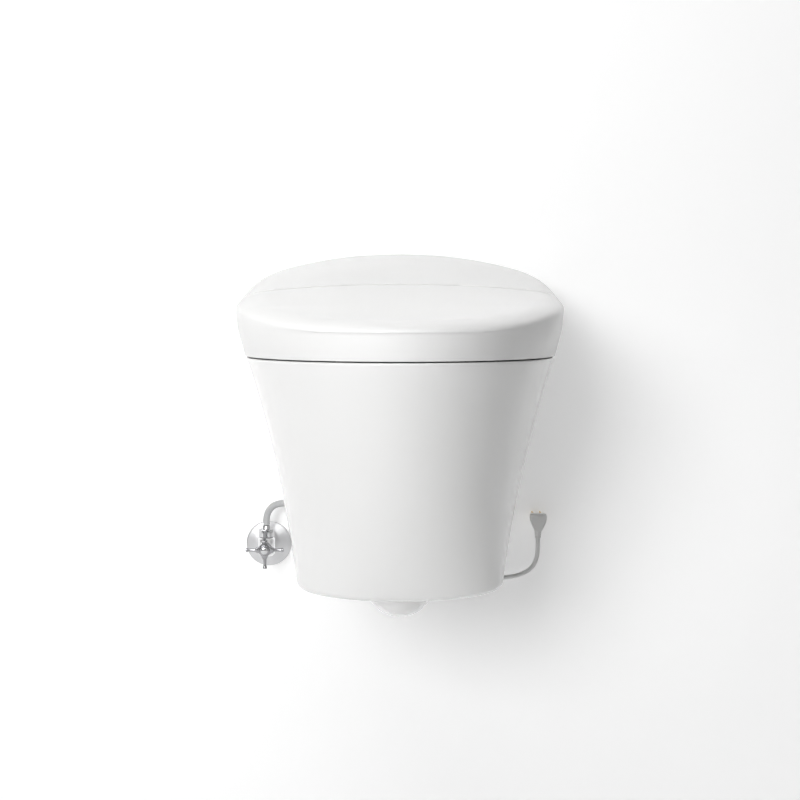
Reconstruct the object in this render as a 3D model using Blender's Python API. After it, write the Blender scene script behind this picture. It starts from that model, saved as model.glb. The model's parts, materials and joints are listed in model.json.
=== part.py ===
"""Wall-hung toilet with a lid, a heated seat, a washing nozzle and a dryer.

Units are metres and +Z is up. The wall is the plane y = 0, the origin lies midway
between the two fixing studs, and the front of the toilet faces -Y. The form that the
lid and the rear housing share is made once, by top_form, and cut in two along an arc
about the hinge axis, so that the lid swings clear of the housing.
"""
import math

import bmesh
import bpy
from mathutils import Vector

# Clearances and overruns
GAP = 0.0003
CUT = 0.004
SLIDE_GAP = 0.0004
SWING_GAP = 0.0013

# Fixing to the wall, at the centres that wall-hung pans share
STUD_SPACING = 0.180
STUD_RADIUS = 0.006
STUD_LENGTH = 0.052
STUD_HOLE_RADIUS = 0.009
NUT_RADIUS = 0.0095
NUT_FLANGE_RADIUS = 0.0125
NUT_FLANGE = 0.003
NUT_HEIGHT = 0.012
INLET_RISE = 0.035
INLET_RADIUS = 0.0275
OUTLET_DROP = 0.100
MAT = 0.003
MAT_MARGIN = 0.006

# Pan, the glazed body
PAN_TOP = 0.080
PAN_HEIGHT = 0.2967
PAN_TOP_HALF = 0.2042
PAN_FOOT_HALF = 0.1326
PAN_BELLY = 0.0072
PAN_FRONT = 0.6021
PAN_FOOT_FRONT = 0.4014
PAN_TOP_CAP = 0.3827
PAN_FOOT_CAP = 0.0849
PAN_TAPER_POWER = 0.9445
PAN_WALL = 0.011
PAN_RIM_ROUND = 0.0035
PAN_FOOT_ROUND = 0.009
DECK = 0.014
REAR_PLATE = 0.014
REAR_PLATE_DROP = 0.045
REAR_NECK_HALF = 0.062
REAR_NECK_DROP = 0.150
HOSE_NOTCH_HEIGHT = 0.041
HOSE_NOTCH_DEPTH = 0.040
HOSE_NOTCH_DROP = 0.156

# Bowl and trap
BOWL_BACK = 0.235
BOWL_SET = 0.0451
BOWL_HALF = 0.135
BOWL_DEPTH = 0.230
BOWL_WALL = 0.010
SUMP_CENTRE = 0.362
TRAP_RADIUS = 0.035
TRAP_WALL = 0.010
TRAP_BEND = 0.055
TRAP_BEND_SET = 0.006
TRAP_RISE = 0.0870
TRAP_RUN_OUT = 0.055
# z share of the depth, length share, width share at each level of the bowl
BOWL_SHARES = (
    (0.00, 1.000, 1.000),
    (0.15, 0.940, 0.955),
    (0.35, 0.800, 0.810),
    (0.56, 0.610, 0.610),
    (0.74, 0.435, 0.450),
    (0.89, 0.305, 0.345),
    (1.00, 0.235, 0.280),
)
BOWL_POWER = 2.3
BOWL_LEAN_POWER = 1.2

# Form shared by the lid and the rear housing
SEAM = 0.0025
FLARE = 0.0108
CREASE_SET = 0.002
CREASE_FRONT = 0.1096
CREASE_SIDE = 0.1155
CREASE_SIDE_PLACE = 0.310
WIDEST_SHARE = 0.05
ROLL = 0.0139
TOP_BACK = 0.2341
TOP_PARTING = 0.1745
TOP_FRONT = 0.124
TOP_FRONT_PLACE = 0.570
CROWN_BACK = 0.0324
CROWN_PARTING = 0.0072
CROWN_POWER = 2.15
CAP_POWER = 2.0
LID_WALL = 0.004
COVER_WALL = 0.003
COVER_BACK = 0.0015

# Hinge
HINGE_BACK = 0.281
PARTING_SET = 0.031
HINGE_HEIGHT = 0.139
BARREL_RADIUS = 0.019
BARREL_WALL = 0.002
BARREL_END_ROOM = 0.075
BARREL_FOOT_SET = 0.004
BARREL_FOOT_DEPTH = 0.008
SHAFT_RADIUS = 0.007
SHAFT_HEAD_RADIUS = 0.0105
SHAFT_HEAD = 0.003
HUB_RADIUS = 0.0125
ARM_WIDTH = 0.017
ARM_SPACE = 0.0015
LIP_ANGLE = math.radians(20)
DRIVE_PLACE = 0.0377
DRIVE_RADIUS = 0.0165
DRIVE_STEP = 0.020
DRIVE_NOSE = 0.012

# Seat
SEAT_LIFT = 0.005
SEAT_BASE = 0.0045
SEAT_TOP = 0.0172
SEAT_SET = 0.009
SEAT_BACK_SET = 0.0005
SEAT_CORNER = 0.020
SEAT_NOSE = 0.0431
SEAT_BAND = 0.0235
SEAT_OPEN_HALF = 0.1035
SEAT_OPEN_POWER = 2.15
# width share and height share round the seat's section
SEAT_SECTION_SHARES = (
    (0.0, 0.0), (0.0, 0.50), (0.035, 0.82), (0.13, 1.0), (0.40, 0.98), (0.68, 0.84),
    (0.88, 0.62), (0.97, 0.36), (1.0, 0.0),
)
LUG_REACH = 0.033
LUG_FOOT_SET = 0.003
PAD_WIDTH = 0.012
PAD_LENGTH = 0.060
PAD_SET = 0.0109
PAD_SHIFT = 0.0373
STOP_RADIUS = 0.0065
STOP_TOP_RADIUS = 0.010
STOP_SET = 0.0259

# Housing base
BRACKET = 0.003
BRACKET_HALF = 0.100
BRACKET_SET = 0.076
BRACKET_BACK = 0.070
CHASSIS = 0.006
CHASSIS_SIDE_SET = 0.0202
CHASSIS_SET = 0.019
CHASSIS_BACK = 0.006
CHASSIS_TAB_SET = 0.0045
CHASSIS_BAY_SET = 0.081
CORNER = 0.012
SERVICE_SIDE = 0.125
SERVICE_BACK = 0.0465
SERVICE_RADIUS = 0.0115

# Wash bay, which slopes down and forward into the bowl
BAY_TILT = math.radians(35)
BAY_SET = 0.036
BAY_HEIGHT = 0.078
BAY_HALF = 0.088
BAY_WALL = 0.009
BAY_LOW = 0.0185
BAY_HIGH = 0.050
BAY_REAR = 0.040
BAY_SHELL_REAR = 0.022
BAY_REACH = 0.078
FASCIA = 0.003
FASCIA_HALF = 0.086
FASCIA_LOW = 0.0165
FASCIA_HIGH = 0.0165
WINDOW_HALF = 0.0205
WINDOW_HIGH = 0.0115
SIDE_PORT = 0.062

# Washing nozzle
WAND_RADIUS = 0.008
WAND_LENGTH = 0.135
WAND_FRONT = 0.030
WAND_STROKE = 0.100
TIP_LENGTH = 0.0255
TIP_NECK = 0.004
NOZZLE_CAP = 0.002
NOZZLE_WINDOW = 0.0105
RACK_WINDOW = 0.0038
RACK_WINDOW_TOP = 0.0145
SPRAY_RADIUS = 0.0011
SPRAY_DEPTH = 0.002
SPRAY_PITCH = 0.005
RACK_HALF = 0.003
RACK_RISE = 0.0135
GUIDE_HALF = 0.0135
GUIDE_BACK = 0.168
GUIDE_FRONT = 0.036
GUIDE_TOP = 0.004
GUIDE_WALL = 0.003
CHEEK_HALF = 0.0125
CHEEK_TOP = 0.0255
MODULE = 0.001
PINION_TEETH = 12
PINION_HALF = 0.0026
PINION_PLACE = 0.056
PINION_SHAFT = 0.002
TOOTH_PLAY = 0.00018
STEPPER_RADIUS = 0.0135
STEPPER_LENGTH = 0.016

# Dryer and deodoriser
FAN_BACK = 0.134
FAN_DROP = 0.018
FAN_HALF = 0.018
FAN_WALL = 0.0018
SCROLL_SMALL = 0.0235
SCROLL_LARGE = 0.0305
THROAT_LOW = 0.0055
INTAKE_RADIUS = 0.014
IMPELLER_RADIUS = 0.0195
IMPELLER_HUB = 0.009
IMPELLER_HALF = 0.013
IMPELLER_BLADES = 14
BLADE_HALF_ANGLE = math.radians(3.4)
FAN_BORE = 0.0095
FAN_MOTOR_RADIUS = 0.0145
FAN_MOTOR_LENGTH = 0.022
FAN_SHAFT_RADIUS = 0.002
DUCT_BACK = 0.060
DUCT_FRONT = 0.0105
DUCT_HALF = 0.0190
DUCT_HIGH = 0.0110
DUCT_WALL = 0.0015
FLAP = 0.0015
FLAP_PIVOT = 0.0135
FLAP_SPACE = 0.0006
FLAP_PIN_RADIUS = 0.0014
CARTRIDGE_BACK = 0.072

# Water and electric units
HEATER_SIDE = 0.070
HEATER_HALF = 0.033
HEATER_SET = 0.131
HEATER_DEPTH = 0.052
HEATER_HEIGHT = 0.068
HEATER_PORT = 0.0045
PUMP_SIDE = 0.143
PUMP_PLACE = 0.130
PUMP_RADIUS = 0.020
PUMP_HALF = 0.026
PUMP_HEAD_RADIUS = 0.0235
PUMP_HEAD = 0.014
PUMP_FOOT = 0.012
VALVE_BLOCK_HALF = 0.017
VALVE_BLOCK_FRONT = 0.066
VALVE_BLOCK_BACK = 0.028
VALVE_BLOCK_HEIGHT = 0.026
COIL_CAN_RADIUS = 0.011
COIL_CAN_HEIGHT = 0.030
INLET_TAIL = 0.0095
INLET_NUT_RADIUS = 0.0105
INLET_NUT_HEIGHT = 0.016
INLET_DROP = 0.0345
CASE_SIDE = 0.104
CASE_FAR_SIDE = 0.170
CASE_SET = 0.066
CASE_BACK = 0.070
CASE_HEIGHT = 0.022
CASE_WALL = 0.0018
BOARD = 0.0016
BOARD_LIFT = 0.006
CHIP_HEIGHT = 0.005
# places across and along the board, then half-widths across and along it
CHIP_SHARES = (
    (0.30, 0.22, 0.16, 0.10), (0.68, 0.40, 0.14, 0.16), (0.35, 0.62, 0.22, 0.08),
    (0.70, 0.82, 0.12, 0.06),
)
POST_SHARES = ((0.12, 0.12), (0.88, 0.12), (0.88, 0.88), (0.12, 0.88))
GLAND_TOP = 0.014
GLAND_RADIUS = 0.0085
GLAND_TIP_RADIUS = 0.0056
GLAND_DROP = 0.030
BUTTON_RADIUS = 0.007
BUTTON_FLANGE = 0.009
BUTTON_LENGTH = 0.014
BUTTON_STAND = 0.0015
BUTTON_TRAVEL = 0.0012
BUTTON_PLACE = 0.120
BUTTON_PITCH = 0.026
BUTTON_HEIGHT = 0.1425
SENSOR_HALF = 0.012
SENSOR_HIGH = 0.004
SENSOR_DEPTH = 0.002
SENSOR_TILT = math.radians(25)

# Stop valve on the wall
STOP_X = 0.2105
STOP_Z = 0.2272
ESCUTCHEON_RADIUS = 0.036
ESCUTCHEON_DEPTH = 0.0085
TAIL_RADIUS = 0.0095
TAIL_BORE = 0.006
VALVE_REACH = 0.030
VALVE_RADIUS = 0.0140
OUTLET_RADIUS = 0.0085
OUTLET_TOP = 0.0165
HOSE_NUT_RADIUS = 0.0125
HOSE_NUT = 0.013
BONNET_RADIUS = 0.0105
BONNET_END = 0.0435
HANDLE_MID = 0.0525
HANDLE_SPAN = 0.059
HANDLE_ARM = 0.0028
HANDLE_ARM_END = 0.0036
HANDLE_HUB = 0.0080
HANDLE_HUB_HALF = 0.0065
HANDLE_CAP_RADIUS = 0.0055
HANDLE_CAP = 0.0022

# Supply hose and power cord
HOSE_DIAMETER = 0.0105
CORD_DIAMETER = 0.007
CORD_SPACING = 0.0155
HOSE_SPACING = 0.0125
COIL_MID_RADIUS = 0.0375
COIL_TURNS = 3
COIL_LOOP_POINTS = 24
COIL_SIDE = 0.094
COIL_DROP = 0.085
COIL_PITCH = 0.0076
COIL_BACK = 0.0206
CLIP_BAND = 0.0014
CLIP_HALF = 0.006
CLIP_BASE_HALF = 0.007
PLUG_X = 0.2174
PLUG_TOP = 0.1733
PLUG_WIDTH = 0.0258
PLUG_NECK_WIDTH = 0.0125
PLUG_SHOULDER = 0.0150
PLUG_LENGTH = 0.0266
PLUG_BACK = 0.0240
PLUG_FRONT = 0.0400
RELIEF_LENGTH = 0.0125
RELIEF_TIP = 0.0050
RELIEF_RINGS = 4
RELIEF_GROOVE = 0.0008
PIN_PLATE = 0.0015
PIN_END = 0.0015
BLADE_HALF = 0.0032
BLADE_THICK = 0.0008
BLADE_SIDE = 0.00635
GROUND_RADIUS = 0.0024
GROUND_DROP = 0.0119
CORD_PLANE = 0.0310

# Routes, chosen by hand, as x, y and z in metres
HOSE_ROUTE = (
    (-0.2105, -0.0300, -0.1914),
    (-0.2105, -0.0300, -0.1845),
    (-0.2092, -0.0300, -0.1760),
    (-0.2053, -0.0300, -0.1676),
    (-0.1985, -0.0300, -0.1612),
    (-0.1900, -0.0300, -0.1582),
    (-0.1795, -0.0298, -0.1573),
    (-0.1660, -0.0294, -0.1572),
    (-0.1520, -0.0288, -0.1566),
    (-0.1395, -0.0284, -0.1535),
    (-0.1285, -0.0284, -0.1460),
    (-0.1205, -0.0290, -0.1345),
    (-0.1165, -0.0302, -0.1200),
    (-0.1158, -0.0318, -0.1040),
    (-0.1165, -0.0338, -0.0860),
    (-0.1185, -0.0362, -0.0660),
    (-0.1212, -0.0388, -0.0460),
    (-0.1238, -0.0414, -0.0260),
    (-0.1250, -0.0438, -0.0060),
    (-0.1252, -0.0455, 0.0120),
    (-0.1250, -0.0463, 0.0250),
    (-0.1250, -0.0465, 0.0342),
)
CORD_ROUTE = (
    (0.2174, -0.0310, -0.2127),
    (0.2174, -0.0310, -0.2218),
    (0.2172, -0.0310, -0.2320),
    (0.2160, -0.0310, -0.2425),
    (0.2125, -0.0310, -0.2530),
    (0.2055, -0.0310, -0.2620),
    (0.1955, -0.0310, -0.2685),
    (0.1825, -0.0310, -0.2730),
    (0.1680, -0.0310, -0.2752),
    (0.1530, -0.0310, -0.2752),
    (0.1390, -0.0310, -0.2722),
    (0.1265, -0.0310, -0.2650),
    (0.1175, -0.0310, -0.2535),
    (0.1125, -0.0308, -0.2390),
    (0.1106, -0.0304, -0.2230),
    (0.1106, -0.0296, -0.2060),
    (0.1128, -0.0284, -0.1880),
    (0.1172, -0.0266, -0.1690),
    (0.1226, -0.0246, -0.1500),
    (0.1274, -0.0226, -0.1310),
    (0.1305, -0.0211, -0.1130),
    (0.1315, -0.0206, -0.1010),
    (0.1315, -0.0206, -0.0923),
)
TAIL_ROUTE = (
    (0.1315, -0.0434, -0.0777),
    (0.1315, -0.0434, -0.0690),
    (0.1320, -0.0436, -0.0560),
    (0.1326, -0.0441, -0.0410),
    (0.1326, -0.0447, -0.0260),
    (0.1314, -0.0453, -0.0110),
    (0.1286, -0.0461, 0.0010),
    (0.1260, -0.0465, 0.0100),
    (0.1250, -0.0465, 0.0180),
    (0.1250, -0.0465, 0.0297),
)

# Finishes: colour, roughness and metallic value
GLAZE = ((0.90, 0.90, 0.89), 0.10, 0.0)
SHELL = ((0.91, 0.91, 0.90), 0.28, 0.0)
SEAT_PLASTIC = ((0.89, 0.89, 0.88), 0.32, 0.0)
GREY_PLASTIC = ((0.45, 0.46, 0.47), 0.50, 0.0)
DARK_PLASTIC = ((0.09, 0.09, 0.10), 0.45, 0.0)
WHITE_PLASTIC = ((0.86, 0.86, 0.85), 0.42, 0.0)
RUBBER = ((0.12, 0.12, 0.12), 0.80, 0.0)
PALE_RUBBER = ((0.72, 0.72, 0.71), 0.75, 0.0)
FOAM = ((0.62, 0.62, 0.63), 0.90, 0.0)
STEEL = ((0.62, 0.63, 0.65), 0.30, 1.0)
CHROME = ((0.80, 0.80, 0.81), 0.08, 1.0)
BRASS = ((0.72, 0.56, 0.30), 0.32, 1.0)
BRAID = ((0.70, 0.71, 0.72), 0.45, 0.0)
BOARD_GREEN = ((0.05, 0.27, 0.12), 0.50, 0.0)
SMOKED = ((0.03, 0.03, 0.035), 0.12, 0.0)

# Working values that follow from the sizes above
PAN_FOOT = PAN_TOP - PAN_HEIGHT
PAN_BACK = -MAT - GAP
PLATE_FACE = PAN_BACK - REAR_PLATE
CAP_CENTRE = PAN_TOP_CAP - PAN_FRONT
BOWL_FRONT = PAN_FRONT - BOWL_SET
TRAP_BEND_DROP = BOWL_DEPTH - PAN_TOP + TRAP_BEND_SET
WIDEST_HALF = PAN_TOP_HALF + FLARE
PARTING = HINGE_BACK - PARTING_SET
BARREL_HALF = WIDEST_HALF - BARREL_END_ROOM
BARREL_FOOT_FRONT = HINGE_BACK - BARREL_FOOT_SET
BARREL_FOOT_BACK = BARREL_FOOT_FRONT - BARREL_FOOT_DEPTH
DRIVE_LENGTH = BARREL_HALF - CUT - GAP - DRIVE_PLACE
SEAT_HALF = PAN_TOP_HALF - SEAT_SET
SEAT_FRONT = PAN_FRONT - SEAT_SET
SEAT_BACK = HINGE_BACK + SEAT_BACK_SET
SEAT_OPEN_FRONT = SEAT_FRONT - SEAT_NOSE
SEAT_OPEN_BACK = SEAT_BACK + SEAT_BAND
PAD_PLACE = (SEAT_BACK + SEAT_FRONT) / 2 - PAD_SHIFT
LUG_FOOT_FRONT = HINGE_BACK + LUG_REACH
LUG_FOOT_BACK = HINGE_BACK + LUG_FOOT_SET
BRACKET_FRONT = HINGE_BACK - BRACKET_SET
CHASSIS_HALF = PAN_TOP_HALF - CHASSIS_SIDE_SET
CHASSIS_FRONT = HINGE_BACK - CHASSIS_SET
CHASSIS_TAB_FRONT = HINGE_BACK - CHASSIS_TAB_SET
CHASSIS_BAY_BACK = HINGE_BACK - CHASSIS_BAY_SET
BAY_BACK = HINGE_BACK - BAY_SET
HEATER_FRONT = HINGE_BACK - HEATER_SET
HEATER_BACK = HEATER_FRONT - HEATER_DEPTH
CASE_FRONT = HINGE_BACK - CASE_SET
HINGE = Vector((0.0, -HINGE_BACK, HINGE_HEIGHT))
PART_RADIUS = math.hypot(HINGE_BACK - PARTING, TOP_PARTING - HINGE_HEIGHT)
PART_ANGLE = math.atan2(TOP_PARTING - HINGE_HEIGHT, HINGE_BACK - PARTING)
LID_RADIUS = PART_RADIUS - SWING_GAP / 2
COVE_RADIUS = PART_RADIUS + SWING_GAP / 2
SEAM_HEIGHT = PAN_TOP + SEAM
SEAT_FLOOR = PAN_TOP + SEAT_LIFT
SEAT_TOP_FLOOR = SEAT_FLOOR + SEAT_BASE + GAP
CHASSIS_FLOOR = PAN_TOP + GAP + BRACKET + GAP
CHASSIS_FACE = CHASSIS_FLOOR + CHASSIS
UNIT_FLOOR = CHASSIS_FACE + GAP
BAY_ORIGIN = Vector((0.0, -BAY_BACK, BAY_HEIGHT))
BAY_DOWN = Vector((0.0, -math.cos(BAY_TILT), -math.sin(BAY_TILT)))
BAY_UP = Vector((0.0, -math.sin(BAY_TILT), math.cos(BAY_TILT)))
SEAT_ARM_IN = BARREL_HALF + ARM_SPACE
SEAT_ARM_OUT = SEAT_ARM_IN + ARM_WIDTH
LID_ARM_IN = SEAT_ARM_OUT + ARM_SPACE
LID_ARM_OUT = LID_ARM_IN + ARM_WIDTH
PITCH_RADIUS = MODULE * PINION_TEETH / 2
RACK_PITCH_LINE = RACK_RISE - MODULE
PINION_AXIS = RACK_PITCH_LINE + PITCH_RADIUS
STOP_CENTRE = Vector((-STOP_X, -VALVE_REACH, -STOP_Z))
COIL_RISE = CORD_DIAMETER


# Scene helpers

def finish(name, look):
    """A material of one colour, roughness and metallic value."""
    colour, roughness, metallic = look
    made = bpy.data.materials.new(name)
    made.use_nodes = True
    shader = made.node_tree.nodes["Principled BSDF"]
    shader.inputs["Base Color"].default_value = (*colour, 1.0)
    shader.inputs["Roughness"].default_value = roughness
    shader.inputs["Metallic"].default_value = metallic
    return made


def piece(name, mesh, look, pivot=None, sharp=35):
    """An object for one sub-part, with its origin on its joint's axis if it moves."""
    bmesh.ops.recalc_face_normals(mesh, faces=mesh.faces)
    data = bpy.data.meshes.new(name)
    if pivot is not None:
        bmesh.ops.translate(mesh, vec=-Vector(pivot), verts=mesh.verts)
    mesh.to_mesh(data)
    mesh.free()
    data.shade_smooth()
    data.set_sharp_from_angle(angle=math.radians(sharp))
    data.materials.append(finish(name, look))
    made = bpy.data.objects.new(name, data)
    if pivot is not None:
        made.location = pivot
    bpy.context.scene.collection.objects.link(made)
    return made


def guide(name, mesh):
    """A cutter or an added shape that is not a sub-part by itself."""
    bmesh.ops.recalc_face_normals(mesh, faces=mesh.faces)
    data = bpy.data.meshes.new(name)
    mesh.to_mesh(data)
    mesh.free()
    data.shade_smooth()
    made = bpy.data.objects.new(name, data)
    bpy.context.scene.collection.objects.link(made)
    made.hide_render = True
    made.display_type = 'WIRE'
    return made


def combine(target, other, operation, solver='EXACT'):
    """Add a Boolean of the other object to the target."""
    step = target.modifiers.new(operation.lower(), 'BOOLEAN')
    step.operation = operation
    step.solver = solver
    step.object = other
    return target


def cut(target, name, mesh, solver='EXACT'):
    """Take a shape away from the target."""
    return combine(target, guide("cut_" + name, mesh), 'DIFFERENCE', solver)


def fuse(target, name, mesh):
    """Add a shape to the target."""
    return combine(target, guide("add_" + name, mesh), 'UNION')


def soften(target, width, segments=2, angle=40):
    """Round the edges that are sharper than an angle."""
    step = target.modifiers.new("soften", 'BEVEL')
    step.width = width
    step.segments = segments
    step.limit_method = 'ANGLE'
    step.angle_limit = math.radians(angle)
    return target


# Shape helpers

def skin(rings, ring_shaped=False):
    """Join loops of equal count into a closed skin."""
    mesh = bmesh.new()
    rows = [[mesh.verts.new(point) for point in ring] for ring in rings]
    pairs = list(zip(rows, rows[1:]))
    if ring_shaped:
        pairs.append((rows[-1], rows[0]))
    for low, high in pairs:
        for index in range(len(low)):
            after = (index + 1) % len(low)
            mesh.faces.new((low[index], low[after], high[after], high[index]))
    if not ring_shaped:
        mesh.faces.new(list(reversed(rows[0])))
        mesh.faces.new(rows[-1])
    return mesh


def prism(outline, axis, low, high):
    """Extrude a flat outline along X, Y or Z between two places."""
    spots = {'X': lambda a, b, c: (c, a, b), 'Y': lambda a, b, c: (a, c, b),
             'Z': lambda a, b, c: (a, b, c)}
    spot = spots[axis]
    return skin([[spot(a, b, place) for a, b in outline] for place in (low, high)])


def box(low, high):
    """A box between two corners."""
    outline = ((low[0], low[1]), (high[0], low[1]), (high[0], high[1]), (low[0], high[1]))
    return prism(outline, 'Z', low[2], high[2])


def circle(radius, sides, centre=(0.0, 0.0), start=0.0):
    """Points of a circle in its own plane."""
    return [(centre[0] + radius * math.cos(start + math.tau * i / sides),
             centre[1] + radius * math.sin(start + math.tau * i / sides))
            for i in range(sides)]


def frame_of(direction):
    """Two unit vectors square to a direction."""
    along = Vector(direction).normalized()
    across = Vector((1.0, 0.0, 0.0))
    if abs(along.x) > 0.9:
        across = Vector((0.0, 1.0, 0.0))
    side = along.cross(across).normalized()
    return side, along.cross(side).normalized(), along


def turned(profile, base, direction, sides=24, ring_shaped=False, start=0.0):
    """Turn a profile of radius and height pairs about an axis."""
    side, other, along = frame_of(direction)
    base = Vector(base)
    rings = []
    for radius, height in profile:
        rings.append([base + along * height + side * a + other * b
                      for a, b in circle(radius, sides, start=start)])
    return skin(rings, ring_shaped)


def pipe(route, radius, sides=16):
    """A round bar along a path that stays in a plane of constant x."""
    rings = []
    for index, here in enumerate(route):
        before = route[max(index - 1, 0)]
        after = route[min(index + 1, len(route) - 1)]
        along = (Vector(after) - Vector(before)).normalized()
        side = Vector((1.0, 0.0, 0.0))
        other = along.cross(side)
        rings.append([Vector(here) + side * a + other * b for a, b in circle(radius, sides)])
    return skin(rings)


def rounded(low, high, radius, steps=4):
    """A flat rectangle with round corners."""
    points = []
    corners = ((high[0] - radius, high[1] - radius, 0.0), (low[0] + radius, high[1] - radius, 90.0),
               (low[0] + radius, low[1] + radius, 180.0), (high[0] - radius, low[1] + radius, 270.0))
    for x, y, start in corners:
        for step in range(steps + 1):
            angle = math.radians(start + 90.0 * step / steps)
            points.append((x + radius * math.cos(angle), y + radius * math.sin(angle)))
    return points


def arc(centre, radius, first, last, steps):
    """Points along an arc, angles in radians."""
    return [(centre[0] + radius * math.cos(first + (last - first) * i / steps),
             centre[1] + radius * math.sin(first + (last - first) * i / steps))
            for i in range(steps + 1)]


def hull(points):
    """The convex outline round a set of flat points."""
    ordered = sorted(set(points))

    def half(row):
        chain = []
        for spot in row:
            while len(chain) > 1:
                (ax, ay), (bx, by) = chain[-2], chain[-1]
                if (bx - ax) * (spot[1] - ay) - (by - ay) * (spot[0] - ax) > 0:
                    break
                chain.pop()
            chain.append(spot)
        return chain[:-1]

    return half(ordered) + half(list(reversed(ordered)))


def even(points, count):
    """A closed outline read again at equal steps of its length."""
    closed = [Vector((*p, 0.0)) for p in points] + [Vector((*points[0], 0.0))]
    lengths = [0.0]
    for first, second in zip(closed, closed[1:]):
        lengths.append(lengths[-1] + (second - first).length)
    result = []
    span = 0
    for index in range(count):
        want = lengths[-1] * index / count
        while lengths[span + 1] < want:
            span += 1
        share = (want - lengths[span]) / (lengths[span + 1] - lengths[span])
        spot = closed[span].lerp(closed[span + 1], share)
        result.append((spot.x, spot.y))
    return result


def smooth_route(points, spacing):
    """A smooth curve through the route's points, read at even steps."""
    spots = [Vector(p) for p in points]
    spots = [2 * spots[0] - spots[1]] + spots + [2 * spots[-1] - spots[-2]]
    fine = []
    for before, first, second, after in zip(spots, spots[1:], spots[2:], spots[3:]):
        for step in range(12):
            t = step / 12
            fine.append(0.5 * (2 * first + (second - before) * t
                               + (2 * before - 5 * first + 4 * second - after) * t ** 2
                               + (3 * first - before - 3 * second + after) * t ** 3))
    fine.append(spots[-2])
    lengths = [0.0]
    for first, second in zip(fine, fine[1:]):
        lengths.append(lengths[-1] + (second - first).length)
    count = max(2, round(lengths[-1] / spacing))
    result = []
    span = 0
    for index in range(count + 1):
        want = lengths[-1] * index / count
        while span < len(fine) - 2 and lengths[span + 1] < want:
            span += 1
        share = (want - lengths[span]) / (lengths[span + 1] - lengths[span])
        result.append(fine[span].lerp(fine[span + 1], share))
    return result, lengths[-1]


def tube(name, points, diameter, look, resolution):
    """A cord or hose as a curve with a round bevel and filled ends."""
    data = bpy.data.curves.new(name, 'CURVE')
    data.dimensions = '3D'
    data.bevel_depth = diameter / 2
    data.bevel_resolution = resolution
    data.use_fill_caps = True
    line = data.splines.new('POLY')
    line.points.add(len(points) - 1)
    for spot, place in zip(line.points, points):
        spot.co = (*place, 1.0)
    data.materials.append(finish(name, look))
    made = bpy.data.objects.new(name, data)
    bpy.context.scene.collection.objects.link(made)
    return made


def in_bay(u, v, x=0.0):
    """A point of the wash bay: u runs down the wand, v square to it."""
    return BAY_ORIGIN + BAY_DOWN * u + BAY_UP * v + Vector((x, 0.0, 0.0))


def bay_prism(outline, low, high):
    """Extrude an outline of u and v pairs across the bay."""
    return skin([[in_bay(u, v, x) for u, v in outline] for x in (low, high)])


def bay_box(u_low, u_high, v_low, v_high, x_low, x_high):
    """A box that lies along the bay."""
    outline = ((u_low, v_low), (u_high, v_low), (u_high, v_high), (u_low, v_high))
    return bay_prism(outline, x_low, x_high)


# Plan outlines

def horseshoe(half, front, cap, back, power=CAP_POWER, cap_steps=24, side_steps=2):
    """A U-shaped plan from the back left, round the front, to the back right."""
    centre = front + cap
    sides = [back + (centre - back) * i / side_steps for i in range(side_steps)]
    points = [(-half, y) for y in sides]
    for step in range(cap_steps + 1):
        angle = math.pi * step / cap_steps
        x = -math.copysign(abs(math.cos(angle)) ** (2 / power), math.cos(angle))
        points.append((half * x, centre - cap * math.sin(angle) ** (2 / power)))
    points += [(half, y) for y in reversed(sides)]
    return points


def oval(centre, half_length, half_width, power, count):
    """A closed superellipse in plan, from the back round by the left side."""
    points = []
    for index in range(count):
        angle = math.tau * index / count
        x = math.copysign(abs(math.sin(angle)) ** (2 / power), -math.sin(angle))
        y = math.copysign(abs(math.cos(angle)) ** (2 / power), math.cos(angle))
        points.append((half_width * x, centre + half_length * y))
    return points


# Form shared by the lid and the rear housing

def through(place, spots):
    """The parabola through three places and their heights."""
    total = 0.0
    for index, (here, height) in enumerate(spots):
        weight = 1.0
        for other, _ in spots[:index] + spots[index + 1:]:
            weight *= (place - other) / (here - other)
        total += weight * height
    return total


def top_height(x, y):
    """Height of the crowned top over a plan point."""
    spots = [(0.0, TOP_BACK), (-PARTING, TOP_PARTING), (-TOP_FRONT_PLACE, TOP_FRONT)]
    crown = CROWN_PARTING + (CROWN_BACK - CROWN_PARTING) * (y + PARTING) / PARTING
    return through(y, spots) - max(crown, 0.0) * (abs(x) / WIDEST_HALF) ** CROWN_POWER


def crease_height(y):
    """Height of the crease where the skirt turns into the shoulder."""
    front = CAP_CENTRE - (PAN_TOP_CAP + FLARE)
    slope = (CREASE_SIDE - CREASE_FRONT) / (-CREASE_SIDE_PLACE - front)
    return CREASE_FRONT + slope * (y - front)


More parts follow.
